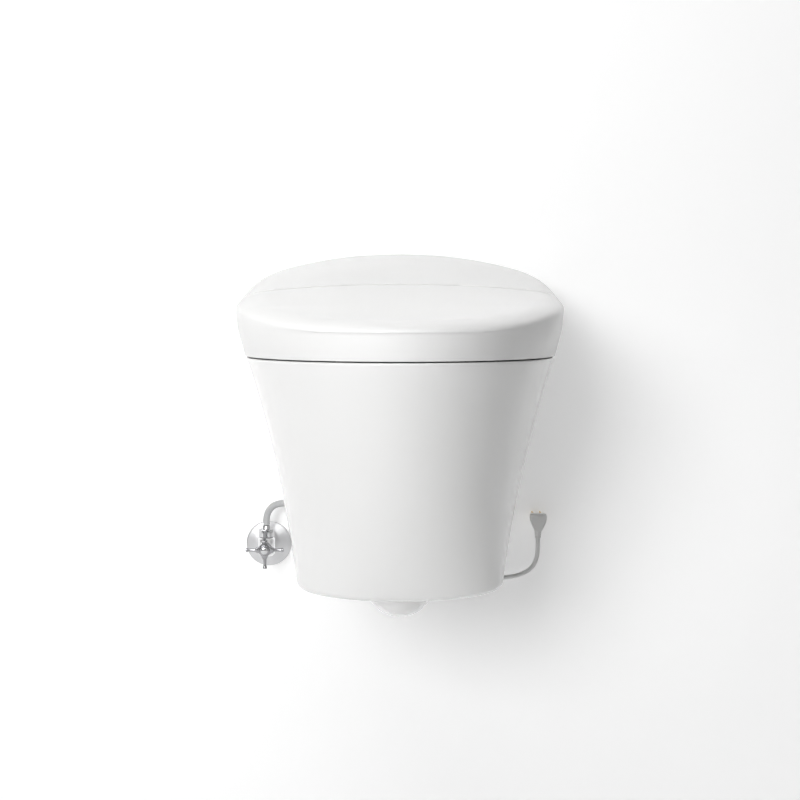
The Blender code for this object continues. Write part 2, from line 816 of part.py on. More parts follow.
def top_form(inset, floor, back, cap_steps=24, side_steps=4):
    """The body of lid and housing together, moved inward by an inset."""
    def plan(depth):
        reach = PAN_TOP_CAP + FLARE - depth - inset
        return horseshoe(WIDEST_HALF - depth - inset, CAP_CENTRE - reach, reach, back,
                         cap_steps=cap_steps, side_steps=side_steps)

    mesh = bmesh.new()
    shoulder = plan(ROLL)
    spine = [(0.0, max(y, CAP_CENTRE)) for _, y in shoulder]
    rows = [[(x, y, floor) for x, y in plan(FLARE)]]
    rows.append([(x, y, crease_height(y)) for x, y in plan(CREASE_SET)])
    for turn in (0, 25, 50, 72, 90):
        angle = math.radians(turn)
        row = []
        for (x, y), (end_x, end_y) in zip(plan(ROLL * (1 - math.cos(angle))), shoulder):
            crease = crease_height(y)
            top = top_height(end_x, end_y)
            widest = crease + WIDEST_SHARE * (top - crease)
            lift = top_height(x, y) - inset - widest
            row.append((x, y, widest + lift * math.sin(angle)))
        rows.append(row)
    for share in (0.22, 0.48, 0.75, 1.0):
        row = []
        for (x, y), (mid_x, mid_y) in zip(shoulder, spine):
            near_x = x + (mid_x - x) * share
            near_y = y + (mid_y - y) * share
            row.append((near_x, near_y, top_height(near_x, near_y) - inset))
        rows.append(row)
    grid = [[mesh.verts.new(point) for point in row] for row in rows]
    for low, high in zip(grid, grid[1:]):
        for index in range(len(low) - 1):
            mesh.faces.new((low[index], low[index + 1], high[index + 1], high[index]))
    mesh.faces.new(grid[0])
    mesh.faces.new([row[0] for row in grid] + [row[-1] for row in reversed(grid[:-1])])
    bmesh.ops.remove_doubles(mesh, verts=mesh.verts, dist=GAP / 10)
    bmesh.ops.dissolve_degenerate(mesh, edges=mesh.edges, dist=GAP / 10)
    return mesh


def skin_half(y, height, inset):
    """Half-width of the form behind the parting, at a height above its crease."""
    crease = crease_height(y)
    top = top_height(WIDEST_HALF - ROLL, y)
    widest = crease + WIDEST_SHARE * (top - crease)
    rise = min(max((height - widest) / (top - inset - widest), 0.0), 1.0)
    return WIDEST_HALF - inset - ROLL * (1 - math.sqrt(1 - rise * rise))


def hinge_point(radius, angle):
    """A point of the side view at a distance and angle from the hinge axis."""
    return (HINGE.y + radius * math.cos(angle), HINGE.z + radius * math.sin(angle))


def slab(name, outline):
    """A side-view outline extruded past the full width, kept as a guide."""
    reach = WIDEST_HALF + 10 * CUT
    return guide(name, prism(outline, 'X', -reach, reach))


# Pan

def pan_level(share):
    """Half-width, front and cap depth of the pan at a share of its height."""
    half = PAN_FOOT_HALF + (PAN_TOP_HALF - PAN_FOOT_HALF) * share
    half -= 4 * PAN_BELLY * share * (1 - share)
    front = PAN_FOOT_FRONT + (PAN_FRONT - PAN_FOOT_FRONT) * share ** PAN_TAPER_POWER
    cap = PAN_FOOT_CAP + (PAN_TOP_CAP - PAN_FOOT_CAP) * share ** PAN_TAPER_POWER
    return half, -front, cap


def pan_loft(inset, levels, back, cap_steps):
    """Plans of the pan stacked at levels of height and extra inset."""
    rings = []
    for height, extra in levels:
        half, front, cap = pan_level(min(max((height - PAN_FOOT) / PAN_HEIGHT, 0.0), 1.0))
        depth = inset + extra
        plan = horseshoe(half - depth, front + depth, cap - depth, back,
                         cap_steps=cap_steps, side_steps=1)
        rings.append([(x, y, height) for x, y in plan])
    return skin(rings)


def bowl_loft(grow, top, floor_extra):
    """The bowl as ovals stacked from the rim to the sump."""
    middle = -(BOWL_BACK + BOWL_FRONT) / 2
    length = (BOWL_FRONT - BOWL_BACK) / 2
    rings = []
    for depth, long_share, wide_share in BOWL_SHARES:
        centre = middle + (-SUMP_CENTRE - middle) * depth ** BOWL_LEAN_POWER
        height = top if depth == 0 else PAN_TOP - BOWL_DEPTH * depth
        if depth == 1:
            height -= floor_extra
        plan = oval(centre, length * long_share + grow, BOWL_HALF * wide_share + grow,
                    BOWL_POWER, 28)
        rings.append([(x, y, height) for x, y in plan])
    return skin(rings)


def trap_route(back):
    """The trap's centre line: down, round the bend, up and out to the wall."""
    bend = (-SUMP_CENTRE + TRAP_BEND, -TRAP_BEND_DROP)
    route = [(-SUMP_CENTRE, -TRAP_BEND_DROP + TRAP_WALL)]
    route += arc(bend, TRAP_BEND, math.pi, math.radians(330), 9)
    rise = Vector((route[-1][0], route[-1][1]))
    along = Vector((math.cos(math.radians(60)), math.sin(math.radians(60))))
    crest = rise + along * TRAP_RISE
    turn = crest + Vector((along.y, -along.x)) * TRAP_BEND
    route += arc(turn, TRAP_BEND, math.radians(150), math.radians(90), 4)
    start = route[-1]
    for share in (0.25, 0.5, 0.75, 1.0):
        ease = share * share * (3 - 2 * share)
        route.append((start[0] + (-TRAP_RUN_OUT - start[0]) * share,
                      start[1] + (-OUTLET_DROP - start[1]) * ease))
    route.append((back, -OUTLET_DROP))
    return [(0.0, y, z) for y, z in route]


def make_pan():
    foot = [(PAN_FOOT, PAN_FOOT_ROUND), (PAN_FOOT + PAN_FOOT_ROUND * 0.3, PAN_FOOT_ROUND * 0.3),
            (PAN_FOOT + PAN_FOOT_ROUND, 0.0)]
    body_low = PAN_FOOT + PAN_FOOT_ROUND
    body_high = PAN_TOP - PAN_RIM_ROUND
    body = [(body_low + (body_high - body_low) * share, 0.0)
            for share in (0.18, 0.36, 0.54, 0.70, 0.86, 1.0)]
    rim = [(PAN_TOP - PAN_RIM_ROUND * 0.3, PAN_RIM_ROUND * 0.3), (PAN_TOP, PAN_RIM_ROUND)]
    pan = piece("pan", pan_loft(0.0, foot + body + rim, PAN_BACK, 32), GLAZE)
    ceiling = PAN_TOP - DECK
    void_levels = [(PAN_FOOT - CUT, 0.0)] + [
        (PAN_FOOT + (ceiling - PAN_FOOT) * share, 0.0) for share in (0.1, 0.35, 0.65, 1.0)]
    cut(pan, "skirt_space", pan_loft(PAN_WALL, void_levels, CUT, 20))
    plate_half = PAN_TOP_HALF - PAN_WALL
    shoulder = pan_level((-REAR_PLATE_DROP - PAN_FOOT) / PAN_HEIGHT)[0] - PAN_WALL / 2
    plate = ((-shoulder, -REAR_PLATE_DROP), (-REAR_NECK_HALF, -REAR_PLATE_DROP),
             (-REAR_NECK_HALF, -REAR_NECK_DROP), (REAR_NECK_HALF, -REAR_NECK_DROP),
             (REAR_NECK_HALF, -REAR_PLATE_DROP), (shoulder, -REAR_PLATE_DROP),
             (plate_half, ceiling + DECK / 2), (-plate_half, ceiling + DECK / 2))
    fuse(pan, "rear_plate", prism(plate, 'Y', PLATE_FACE, PAN_BACK))
    fuse(pan, "bowl", bowl_loft(BOWL_WALL, PAN_TOP - DECK / 2, BOWL_WALL))
    fuse(pan, "trap", pipe(trap_route(PAN_BACK), TRAP_RADIUS + TRAP_WALL, 20))
    channel_end = -BOWL_BACK - BOWL_WALL
    fuse(pan, "flush_channel", turned(((INLET_RADIUS + BOWL_WALL, 0.0),
                                       (INLET_RADIUS + BOWL_WALL, PAN_BACK - channel_end)),
                                      (0.0, channel_end, INLET_RISE), (0, 1, 0), 20))
    fuse(pan, "bay", bay_box(-BAY_SHELL_REAR, BAY_REACH - 2 * BAY_WALL,
                             -BAY_LOW - BAY_WALL, -BAY_LOW + BAY_WALL,
                             -BAY_HALF - BAY_WALL, BAY_HALF + BAY_WALL))
    cut(pan, "bowl_space", bowl_loft(0.0, PAN_TOP + CUT, 0.0))
    cut(pan, "trap_space", pipe(trap_route(CUT), TRAP_RADIUS, 20))
    cut(pan, "flush_space", turned(((INLET_RADIUS, 0.0), (INLET_RADIUS, CUT - channel_end + CUT)),
                                   (0.0, channel_end - CUT, INLET_RISE), (0, 1, 0), 20))
    cut(pan, "bay_space", bay_box(-BAY_REAR, BAY_REACH, -BAY_LOW, BAY_HIGH,
                                  -BAY_HALF, BAY_HALF))
    for side, tag in ((-1, "left"), (1, "right")):
        centre = (side * STUD_SPACING / 2, PLATE_FACE - CUT, 0.0)
        cut(pan, "stud_hole_" + tag, turned(((STUD_HOLE_RADIUS, 0.0),
                                             (STUD_HOLE_RADIUS, REAR_PLATE + 2 * CUT)),
                                            centre, (0, 1, 0), 16))
        service = (side * SERVICE_SIDE, -SERVICE_BACK, ceiling - CUT)
        cut(pan, "service_hole_" + tag, turned(((SERVICE_RADIUS, 0.0),
                                                (SERVICE_RADIUS, DECK + 2 * CUT)),
                                               service, (0, 0, 1), 16))
    notch_mid = -HOSE_NOTCH_DROP
    notch = rounded((PAN_BACK - HOSE_NOTCH_DEPTH, notch_mid - HOSE_NOTCH_HEIGHT / 2),
                    (PAN_BACK + HOSE_NOTCH_DEPTH, notch_mid + HOSE_NOTCH_HEIGHT / 2),
                    HOSE_NOTCH_HEIGHT / 3, 3)
    cut(pan, "hose_notch", prism(notch, 'X', -PAN_TOP_HALF, -PAN_FOOT_HALF + 2 * PAN_WALL))
    return pan


def make_wall_side():
    high_half = PAN_TOP_HALF - PAN_WALL - MAT_MARGIN
    low_half = pan_level((-REAR_PLATE_DROP - PAN_FOOT) / PAN_HEIGHT)[0] - PAN_WALL - MAT_MARGIN
    low = -REAR_PLATE_DROP + MAT_MARGIN
    neck = REAR_NECK_HALF - MAT_MARGIN / 2
    neck_low = -REAR_NECK_DROP + MAT_MARGIN / 2
    top = PAN_TOP - DECK - MAT_MARGIN
    outline = ((-low_half, low), (-neck, low), (-neck, neck_low), (neck, neck_low),
               (neck, low), (low_half, low), (high_half, top), (-high_half, top))
    mat = piece("wall_mat", prism(outline, 'Y', -MAT, 0.0), FOAM)
    holes = [("inlet", (0.0, INLET_RISE), INLET_RADIUS + CUT / 2, 20),
             ("outlet", (0.0, -OUTLET_DROP), TRAP_RADIUS + GAP, 20),
             ("stud_left", (-STUD_SPACING / 2, 0.0), STUD_HOLE_RADIUS, 16),
             ("stud_right", (STUD_SPACING / 2, 0.0), STUD_HOLE_RADIUS, 16)]
    for tag, (x, z), radius, sides in holes:
        cut(mat, "mat_" + tag, turned(((radius, 0.0), (radius, MAT + 2 * CUT)),
                                      (x, -MAT - CUT, z), (0, 1, 0), sides))
    seal_depth = REAR_PLATE
    for name, drop, outer, lip in (("inlet_seal", -INLET_RISE, INLET_RADIUS, 0.0055),
                                   ("outlet_seal", OUTLET_DROP, TRAP_RADIUS, 0.0045)):
        face = outer - GAP * 3
        profile = ((face, 0.0), (face, seal_depth), (face - lip / 2, seal_depth),
                   (face - lip, seal_depth * 0.5), (face - lip / 2, 0.0))
        piece(name, turned(profile, (0.0, PAN_BACK - seal_depth, -drop), (0, 1, 0), 18, True),
              RUBBER)
    for side, tag in ((-1, "left"), (1, "right")):
        x = side * STUD_SPACING / 2
        piece("fixing_stud_" + tag,
              turned(((STUD_RADIUS * 0.8, 0.0), (STUD_RADIUS, STUD_RADIUS * 0.3),
                      (STUD_RADIUS, STUD_LENGTH)), (x, -STUD_LENGTH, 0.0), (0, 1, 0), 16), STEEL)
        face = (x, PLATE_FACE - GAP, 0.0)
        nut = piece("fixing_nut_" + tag,
                    turned(((NUT_RADIUS, 0.0), (NUT_RADIUS, NUT_HEIGHT)), face, (0, -1, 0), 6), STEEL)
        fuse(nut, "nut_flange_" + tag,
             turned(((NUT_FLANGE_RADIUS, 0.0), (NUT_FLANGE_RADIUS, NUT_FLANGE)), face, (0, -1, 0), 18))
        cut(nut, "nut_bore_" + tag,
            turned(((STUD_RADIUS + GAP, -CUT), (STUD_RADIUS + GAP, NUT_HEIGHT + CUT)),
                   face, (0, -1, 0), 16))


# Lid

def make_lid():
    reach = PAN_FRONT + 10 * CUT
    high = TOP_BACK + 10 * CUT
    low = PAN_TOP - 2 * CUT
    tip = PART_ANGLE - LIP_ANGLE
    region = [(-reach, low), (HINGE.y, low), hinge_point(LID_RADIUS, math.radians(-90))]
    region += arc((HINGE.y, HINGE.z), LID_RADIUS, math.radians(-80), math.radians(80), 18)
    region += [hinge_point(LID_RADIUS, math.radians(90)), (HINGE.y, high), (-reach, high)]
    lid = piece("lid_shell", top_form(0.0, SEAM_HEIGHT, -COVER_BACK, 28), SHELL, HINGE)
    combine(lid, slab("keep_lid", region), 'INTERSECT')
    inner = LID_RADIUS - LID_WALL
    clear = LID_RADIUS + CUT
    space = [(-reach, low), (HINGE.y + clear, low)]
    space += arc((HINGE.y, HINGE.z), clear, 0.0, tip, 3)
    space += arc((HINGE.y, HINGE.z), inner, tip, math.radians(90), 6)
    space += [(HINGE.y, high), (-reach, high)]
    hollow = guide("cut_lid_space", top_form(LID_WALL, PAN_TOP - CUT, CUT, 20))
    combine(hollow, slab("keep_lid_space", space), 'INTERSECT')
    combine(lid, hollow, 'DIFFERENCE')
    return lid


def lid_fit(name, mesh, pivot, look):
    """A piece under the lid, trimmed to the inside of the lid's shell."""
    made = piece(name, mesh, look, pivot)
    combine(made, bpy.data.objects["keep_under_lid"], 'INTERSECT')
    return made


def make_lid_fittings():
    guide("keep_under_lid", top_form(LID_WALL + GAP, PAN_TOP - CUT, CUT, 20))
    pad = [(-HINGE_BACK - HUB_RADIUS * 2.4, TOP_PARTING), (-HINGE_BACK + HUB_RADIUS * 0.8, TOP_PARTING)]
    rim = circle(HUB_RADIUS, 20, (HINGE.y, HINGE.z))
    profile = hull(rim + pad)
    stop_side = seat_half(PAD_PLACE, SEAT_FRONT, SEAT_HALF) - STOP_SET
    for side, tag in ((-1, "left"), (1, "right")):
        low, high = sorted((side * LID_ARM_IN, side * LID_ARM_OUT))
        arm = lid_fit("lid_hinge_arm_" + tag, prism(profile, 'X', low, high), HINGE, GREY_PLASTIC)
        bore = SHAFT_RADIUS + GAP
        cut(arm, "lid_arm_bore_" + tag,
            turned(((bore, 0.0), (bore, high - low + 2 * CUT)),
                   (low - CUT, HINGE.y, HINGE.z), (1, 0, 0), 16))
        seat_height = SEAT_TOP_FLOOR + SEAT_TOP + GAP
        lid_fit("lid_bumper_" + tag,
                turned(((STOP_RADIUS * 0.8, 0.0), (STOP_RADIUS, STOP_RADIUS * 0.25),
                        (STOP_TOP_RADIUS, TOP_PARTING - seat_height)),
                       (side * stop_side, -PAD_PLACE, seat_height), (0, 0, 1), 14),
                HINGE, PALE_RUBBER)
    head = BARREL_HALF - CUT
    end = LID_ARM_OUT + ARM_SPACE
    profile = ((SHAFT_RADIUS, head), (SHAFT_RADIUS, end), (SHAFT_HEAD_RADIUS, end),
               (SHAFT_HEAD_RADIUS, end + SHAFT_HEAD * 0.7), (SHAFT_HEAD_RADIUS * 0.85, end + SHAFT_HEAD))
    for side, name in ((1, "lid_drive_shaft"), (-1, "seat_drive_shaft")):
        piece(name, turned(profile, HINGE, (side, 0, 0), 16), STEEL, HINGE)


# Seat

def seat_half(place, front, half):
    """Half-width of the seat's outline at a distance from the wall."""
    reach = max(CAP_CENTRE + place, 0.0) / (CAP_CENTRE + front)
    return half * math.sqrt(1 - reach * reach)


def seat_plan(front, half, back, corner):
    """The seat's outer outline, closed, starting in the middle of its back edge."""
    turn = -back - corner
    curve = horseshoe(half, -front, CAP_CENTRE + front, turn, cap_steps=36, side_steps=1)
    wide = seat_half(-turn, front, half) - corner
    left = arc((-wide, turn), corner, math.radians(90), math.radians(180), 5)
    right = arc((wide, turn), corner, 0.0, math.radians(90), 5)
    return [(0.0, -back)] + left + [spot for spot in curve if spot[1] < turn - GAP] + right


def seat_ring(section, floor, height, count, shrink=0.0):
    """A seat ring: a section of width and height shares swept round the opening."""
    outer = even(seat_plan(SEAT_FRONT - shrink, SEAT_HALF - shrink, SEAT_BACK, SEAT_CORNER), count)
    middle = -(SEAT_OPEN_FRONT + SEAT_OPEN_BACK) / 2
    length = (SEAT_OPEN_FRONT - SEAT_OPEN_BACK) / 2
    inner = even(oval(middle, length + shrink, SEAT_OPEN_HALF + shrink, SEAT_OPEN_POWER, 72), count)
    rings = []
    for across, up in section:
        rings.append([(a + (c - a) * across, b + (d - b) * across, floor + height * up)
                      for (a, b), (c, d) in zip(outer, inner)])
    return skin(rings, True)


def make_seat():
    top = piece("seat_top", seat_ring(SEAT_SECTION_SHARES, SEAT_TOP_FLOOR, SEAT_TOP, 52),
                SEAT_PLASTIC, HINGE)
    rim = circle(HUB_RADIUS, 20, (HINGE.y, HINGE.z))
    foot_low = SEAT_TOP_FLOOR + SEAT_TOP * 0.15
    foot_high = SEAT_TOP_FLOOR + SEAT_TOP * 0.80
    foot = [(-LUG_FOOT_FRONT, foot_low), (-LUG_FOOT_FRONT, foot_high), (-LUG_FOOT_BACK, foot_low)]
    profile = hull(rim + foot)
    for side, tag in ((-1, "left"), (1, "right")):
        low, high = sorted((side * SEAT_ARM_IN, side * SEAT_ARM_OUT))
        fuse(top, "seat_lug_" + tag, prism(profile, 'X', low, high))
        bore = SHAFT_RADIUS + GAP
        cut(top, "seat_bore_" + tag,
            turned(((bore, 0.0), (bore, high - low + 2 * CUT)),
                   (low - CUT, HINGE.y, HINGE.z), (1, 0, 0), 16))
    flat = ((0.0, 0.0), (0.0, 1.0), (1.0, 1.0), (1.0, 0.0))
    piece("seat_base", seat_ring(flat, SEAT_FLOOR, SEAT_BASE, 52, SEAT_BASE / 2), WHITE_PLASTIC, HINGE)
    pad_side = seat_half(PAD_PLACE, SEAT_FRONT, SEAT_HALF) - PAD_SET
    for side, tag in ((-1, "left"), (1, "right")):
        x = side * pad_side
        outline = rounded((x - PAD_WIDTH / 2, -PAD_PLACE - PAD_LENGTH / 2),
                          (x + PAD_WIDTH / 2, -PAD_PLACE + PAD_LENGTH / 2), PAD_WIDTH * 0.49)
        piece("seat_bumper_" + tag, prism(outline, 'Z', PAN_TOP + GAP, SEAT_FLOOR - GAP),
              PALE_RUBBER, HINGE)


# Rear housing

def make_housing():
    high = TOP_BACK + 10 * CUT
    low = PAN_TOP - 2 * CUT
    edge = HINGE.y + SWING_GAP / 2
    start = -math.acos(SWING_GAP / 2 / COVE_RADIUS)
    region = [(edge, low)]
    region += arc((HINGE.y, HINGE.z), COVE_RADIUS, start, math.radians(88), 20)
    region += [(HINGE.y + CUT / 4, high), (2 * CUT, high), (2 * CUT, low)]
    cover = piece("housing_cover", top_form(0.0, SEAM_HEIGHT, -COVER_BACK, 24, 6), SHELL)
    combine(cover, slab("keep_cover", region), 'INTERSECT')
    behind = COVE_RADIUS + COVER_WALL
    wall = edge + COVER_WALL - HINGE.y
    inside = [(HINGE.y + wall, low)]
    inside += arc((HINGE.y, HINGE.z), behind, -math.acos(wall / behind), math.radians(84), 14)
    inside += [(HINGE.y + CUT, high), (2 * CUT, high), (2 * CUT, low)]
    hollow = guide("cut_cover_space", top_form(COVER_WALL, PAN_TOP - CUT, CUT, 20, 4))
    combine(hollow, slab("keep_cover_space", inside), 'INTERSECT')
    # The exact solver leaves nothing of the cover here, so its cuts use the other one.
    combine(cover, hollow, 'DIFFERENCE', 'MANIFOLD')
    front_half = BARREL_HALF + ARM_SPACE / 2
    cut(cover, "cover_front", box((-front_half, HINGE.y - CUT, low),
                                  (front_half, HINGE.y + COVE_RADIUS * 0.62,
                                   HINGE.z - COVE_RADIUS * 0.90)), 'MANIFOLD')
    for index in (0, 1):
        y = -BUTTON_PLACE - (index - 0.5) * BUTTON_PITCH
        hole = BUTTON_RADIUS + SLIDE_GAP
        cut(cover, "button_hole_" + str(index), turned(((hole, 0.0), (hole, ROLL + CUT)),
                                                       (WIDEST_HALF - ROLL, y, BUTTON_HEIGHT),
                                                       (1, 0, 0), 18), 'MANIFOLD')
    return cover


def make_buttons():
    for index, name in ((0, "flush_button"), (1, "power_button")):
        y = -BUTTON_PLACE - (index - 0.5) * BUTTON_PITCH
        inner_face = skin_half(y, BUTTON_HEIGHT + BUTTON_FLANGE, COVER_WALL) - 2 * GAP
        tip = skin_half(y, BUTTON_HEIGHT, 0.0) + BUTTON_STAND
        length = tip - inner_face
        profile = ((BUTTON_FLANGE, 0.0), (BUTTON_FLANGE, COVER_WALL), (BUTTON_RADIUS, COVER_WALL),
                   (BUTTON_RADIUS, length * 0.99 + COVER_WALL), (BUTTON_RADIUS * 0.88, length + COVER_WALL))
        start = (inner_face - COVER_WALL, y, BUTTON_HEIGHT)
        piece(name, turned(profile, start, (1, 0, 0), 18), WHITE_PLASTIC, start)


def make_base():
    bracket = piece("mounting_bracket",
                    prism(rounded((-BRACKET_HALF, -BRACKET_FRONT), (BRACKET_HALF, -BRACKET_BACK),
                                  CORNER, 4), 'Z', PAN_TOP + GAP, PAN_TOP + GAP + BRACKET), STEEL)
    for side, tag in ((-1, "left"), (1, "right")):
        slot = rounded((side * BRACKET_HALF * 0.6 - CORNER, -BRACKET_FRONT + CORNER),
                       (side * BRACKET_HALF * 0.6 + CORNER, -BRACKET_FRONT + 2 * CORNER),
                       CORNER * 0.48, 3)
        cut(bracket, "bracket_slot_" + tag,
            prism(slot, 'Z', PAN_TOP - CUT, PAN_TOP + BRACKET + CUT))
    outline = [(-BARREL_HALF + ARM_SPACE, -CHASSIS_TAB_FRONT), (BARREL_HALF - ARM_SPACE, -CHASSIS_TAB_FRONT),
               (BARREL_HALF - ARM_SPACE, -CHASSIS_FRONT), (CHASSIS_HALF, -CHASSIS_FRONT)]
    outline += arc((CHASSIS_HALF - CORNER, -CHASSIS_BACK - CORNER), CORNER, 0.0, math.radians(90), 4)
    outline += arc((-CHASSIS_HALF + CORNER, -CHASSIS_BACK - CORNER), CORNER, math.radians(90),
                   math.radians(180), 4)
    outline += [(-CHASSIS_HALF, -CHASSIS_FRONT), (-BARREL_HALF + ARM_SPACE, -CHASSIS_FRONT)]
    chassis = piece("base_chassis", prism(outline, 'Z', CHASSIS_FLOOR, CHASSIS_FACE), GREY_PLASTIC)
    cut(chassis, "chassis_bay", prism(rounded((-BAY_HALF - GAP, -CHASSIS_TAB_FRONT - 4 * CUT),
                                              (BAY_HALF + GAP, -CHASSIS_BAY_BACK), CORNER / 2, 3), 'Z',
                                      CHASSIS_FLOOR - CUT, CHASSIS_FACE + CUT))
    for side, tag in ((-1, "left"), (1, "right")):
        centre = (side * SERVICE_SIDE, -SERVICE_BACK, CHASSIS_FLOOR - CUT)
        cut(chassis, "chassis_hole_" + tag,
            turned(((SERVICE_RADIUS, 0.0), (SERVICE_RADIUS, CHASSIS + 2 * CUT)),
                   centre, (0, 0, 1), 16))
    return chassis


def make_barrel():
    half = BARREL_HALF
    barrel = piece("hinge_barrel",
                   turned(((BARREL_RADIUS, -half), (BARREL_RADIUS, half)), HINGE, (1, 0, 0), 32),
                   SHELL)
    foot_half = half - 2 * ARM_SPACE
    fuse(barrel, "barrel_foot", box((-foot_half, -BARREL_FOOT_FRONT, CHASSIS_FACE + GAP),
                                    (foot_half, -BARREL_FOOT_BACK, HINGE.z - BARREL_RADIUS * 0.8)))
    bore = BARREL_RADIUS - BARREL_WALL
    cut(barrel, "barrel_bore", turned(((bore, -half - CUT), (bore, half + CUT)),
                                      HINGE, (1, 0, 0), 28))
    bridge = CHASSIS_FACE + BARREL_WALL * 1.3
    cut(barrel, "barrel_bay", box((-BAY_HALF, -BARREL_FOOT_FRONT - CUT, CHASSIS_FACE - CUT),
                                  (BAY_HALF, -BARREL_FOOT_BACK + CUT, bridge)))
    out = Vector((0.0, -math.cos(SENSOR_TILT), math.sin(SENSOR_TILT)))
    up = Vector((0.0, math.sin(SENSOR_TILT), math.cos(SENSOR_TILT)))
    face = HINGE + out * BARREL_RADIUS

    def window(grow, low, high):
        rings = []
        for depth in (low, high):
            rings.append([face + out * depth + up * b + Vector((a, 0.0, 0.0)) for a, b in
                          rounded((-SENSOR_HALF - grow, -SENSOR_HIGH - grow),
                                  (SENSOR_HALF + grow, SENSOR_HIGH + grow), SENSOR_HIGH * 0.8, 3)])
        return skin(rings)

    cut(barrel, "sensor_seat", window(GAP, -SENSOR_DEPTH - GAP, CUT))
    piece("sensor_window", window(0.0, -SENSOR_DEPTH, 0.0), SMOKED)
    profile = ((DRIVE_NOSE * 0.8, 0.0), (DRIVE_NOSE, DRIVE_STEP * 0.2), (DRIVE_NOSE, DRIVE_STEP),
               (DRIVE_RADIUS, DRIVE_STEP), (DRIVE_RADIUS, DRIVE_LENGTH * 0.62),
               (DRIVE_RADIUS * 0.86, DRIVE_LENGTH * 0.64), (DRIVE_RADIUS * 0.86, DRIVE_LENGTH))
    for side, name in ((-1, "seat_drive_unit"), (1, "lid_drive_unit")):
        start = (side * (BARREL_HALF - CUT - GAP), HINGE.y, HINGE.z)
        piece(name, turned(profile, start, (-side, 0, 0), 24), DARK_PLASTIC)


# Washing nozzle

def pinion_outline(addendum, dedendum, play):
    """Outline of a spur pinion with involute flanks, one tooth towards +v."""
    base = PITCH_RADIUS * math.cos(math.radians(20))
    outer = PITCH_RADIUS + addendum
    root = PITCH_RADIUS - dedendum
    half = (math.pi * MODULE / 2 - play) / 2 / PITCH_RADIUS

    def flank(radius):
        lean = math.acos(min(base / radius, 1.0))
        at_pitch = math.acos(base / PITCH_RADIUS)
        return half + (math.tan(at_pitch) - at_pitch) - (math.tan(lean) - lean)

    points = []
    for tooth in range(PINION_TEETH):
        middle = math.radians(90) + math.tau * tooth / PINION_TEETH
        for side in (1, -1):
            radii = (root, base, PITCH_RADIUS, outer)
            if side == -1:
                radii = tuple(reversed(radii))
            for radius in radii:
                angle = middle - side * flank(max(radius, base))
                points.append((radius * math.cos(angle), radius * math.sin(angle)))
    return list(reversed(points))


def rack_outline(first, last):
    """Outline of the wand's rack in the bay's own plane, teeth upward."""
    pitch = math.pi * MODULE
    lean = math.tan(math.radians(20))
    addendum = MODULE * 0.85
    dedendum = MODULE * 1.25
    half = (pitch / 2 - TOOTH_PLAY) / 2
    root = RACK_PITCH_LINE - dedendum
    tip = RACK_PITCH_LINE + addendum
    points = [(first, WAND_RADIUS * 0.7), (first, root)]
    count = int((last - first) / pitch)
    centre = -PINION_PLACE + pitch / 2 - pitch * count
    while centre < last - pitch / 2:
        if centre > first + pitch / 2:
            wide = half + dedendum * lean
            narrow = half - addendum * lean
            points += [(centre - wide, root), (centre - narrow, tip), (centre + narrow, tip),
                       (centre + wide, root)]
        centre += pitch
    points += [(last, root), (last, WAND_RADIUS * 0.7)]
    return points


def make_nozzle():
    pivot = in_bay(-WAND_FRONT, 0.0)
    back = -WAND_FRONT - WAND_LENGTH
    profile = ((WAND_RADIUS * 0.75, 0.0), (WAND_RADIUS, WAND_RADIUS * 0.3), (WAND_RADIUS, WAND_LENGTH))
    wand = piece("nozzle_wand", turned(profile, in_bay(back, 0.0), BAY_DOWN, 20), WHITE_PLASTIC, pivot)
    rack_end = -PINION_PLACE + 2 * math.pi * MODULE
    rack_start = -PINION_PLACE - WAND_STROKE - 2 * math.pi * MODULE
    fuse(wand, "rack", bay_prism(rack_outline(rack_start, rack_end), -RACK_HALF, RACK_HALF))
    tip_start = -WAND_FRONT + GAP
    tip_end = -NOZZLE_CAP - GAP
    span = tip_end - tip_start
    tip = piece("nozzle_tip", turned(((WAND_RADIUS, 0.0), (WAND_RADIUS, span * 0.7),
                                      (WAND_RADIUS * 0.92, span * 0.86), (WAND_RADIUS * 0.7, span)),
                                     in_bay(tip_start, 0.0), BAY_DOWN, 20), WHITE_PLASTIC, pivot)
    cap = rounded((-NOZZLE_WINDOW + SLIDE_GAP, -NOZZLE_WINDOW + SLIDE_GAP),
                  (NOZZLE_WINDOW - SLIDE_GAP, NOZZLE_WINDOW - SLIDE_GAP), CUT, 4)
    rings = [[in_bay(u, v, x) for x, v in cap] for u in (tip_end - NOZZLE_CAP / 2, -SLIDE_GAP)]
    fuse(tip, "nozzle_cap", skin(rings))
    fuse(tip, "nozzle_cap_tab", bay_box(tip_end - NOZZLE_CAP / 2, -SLIDE_GAP, NOZZLE_WINDOW / 2,
                                        RACK_WINDOW_TOP - SLIDE_GAP, SLIDE_GAP - RACK_WINDOW,
                                        RACK_WINDOW - SLIDE_GAP))
    for index in range(3):
        u = tip_end - span * 0.25 - index * SPRAY_PITCH
        cut(tip, "spray_" + str(index),
            turned(((SPRAY_RADIUS, 0.0), (SPRAY_RADIUS, SPRAY_DEPTH + CUT)),
                   in_bay(u, WAND_RADIUS - SPRAY_DEPTH), BAY_UP, 10))


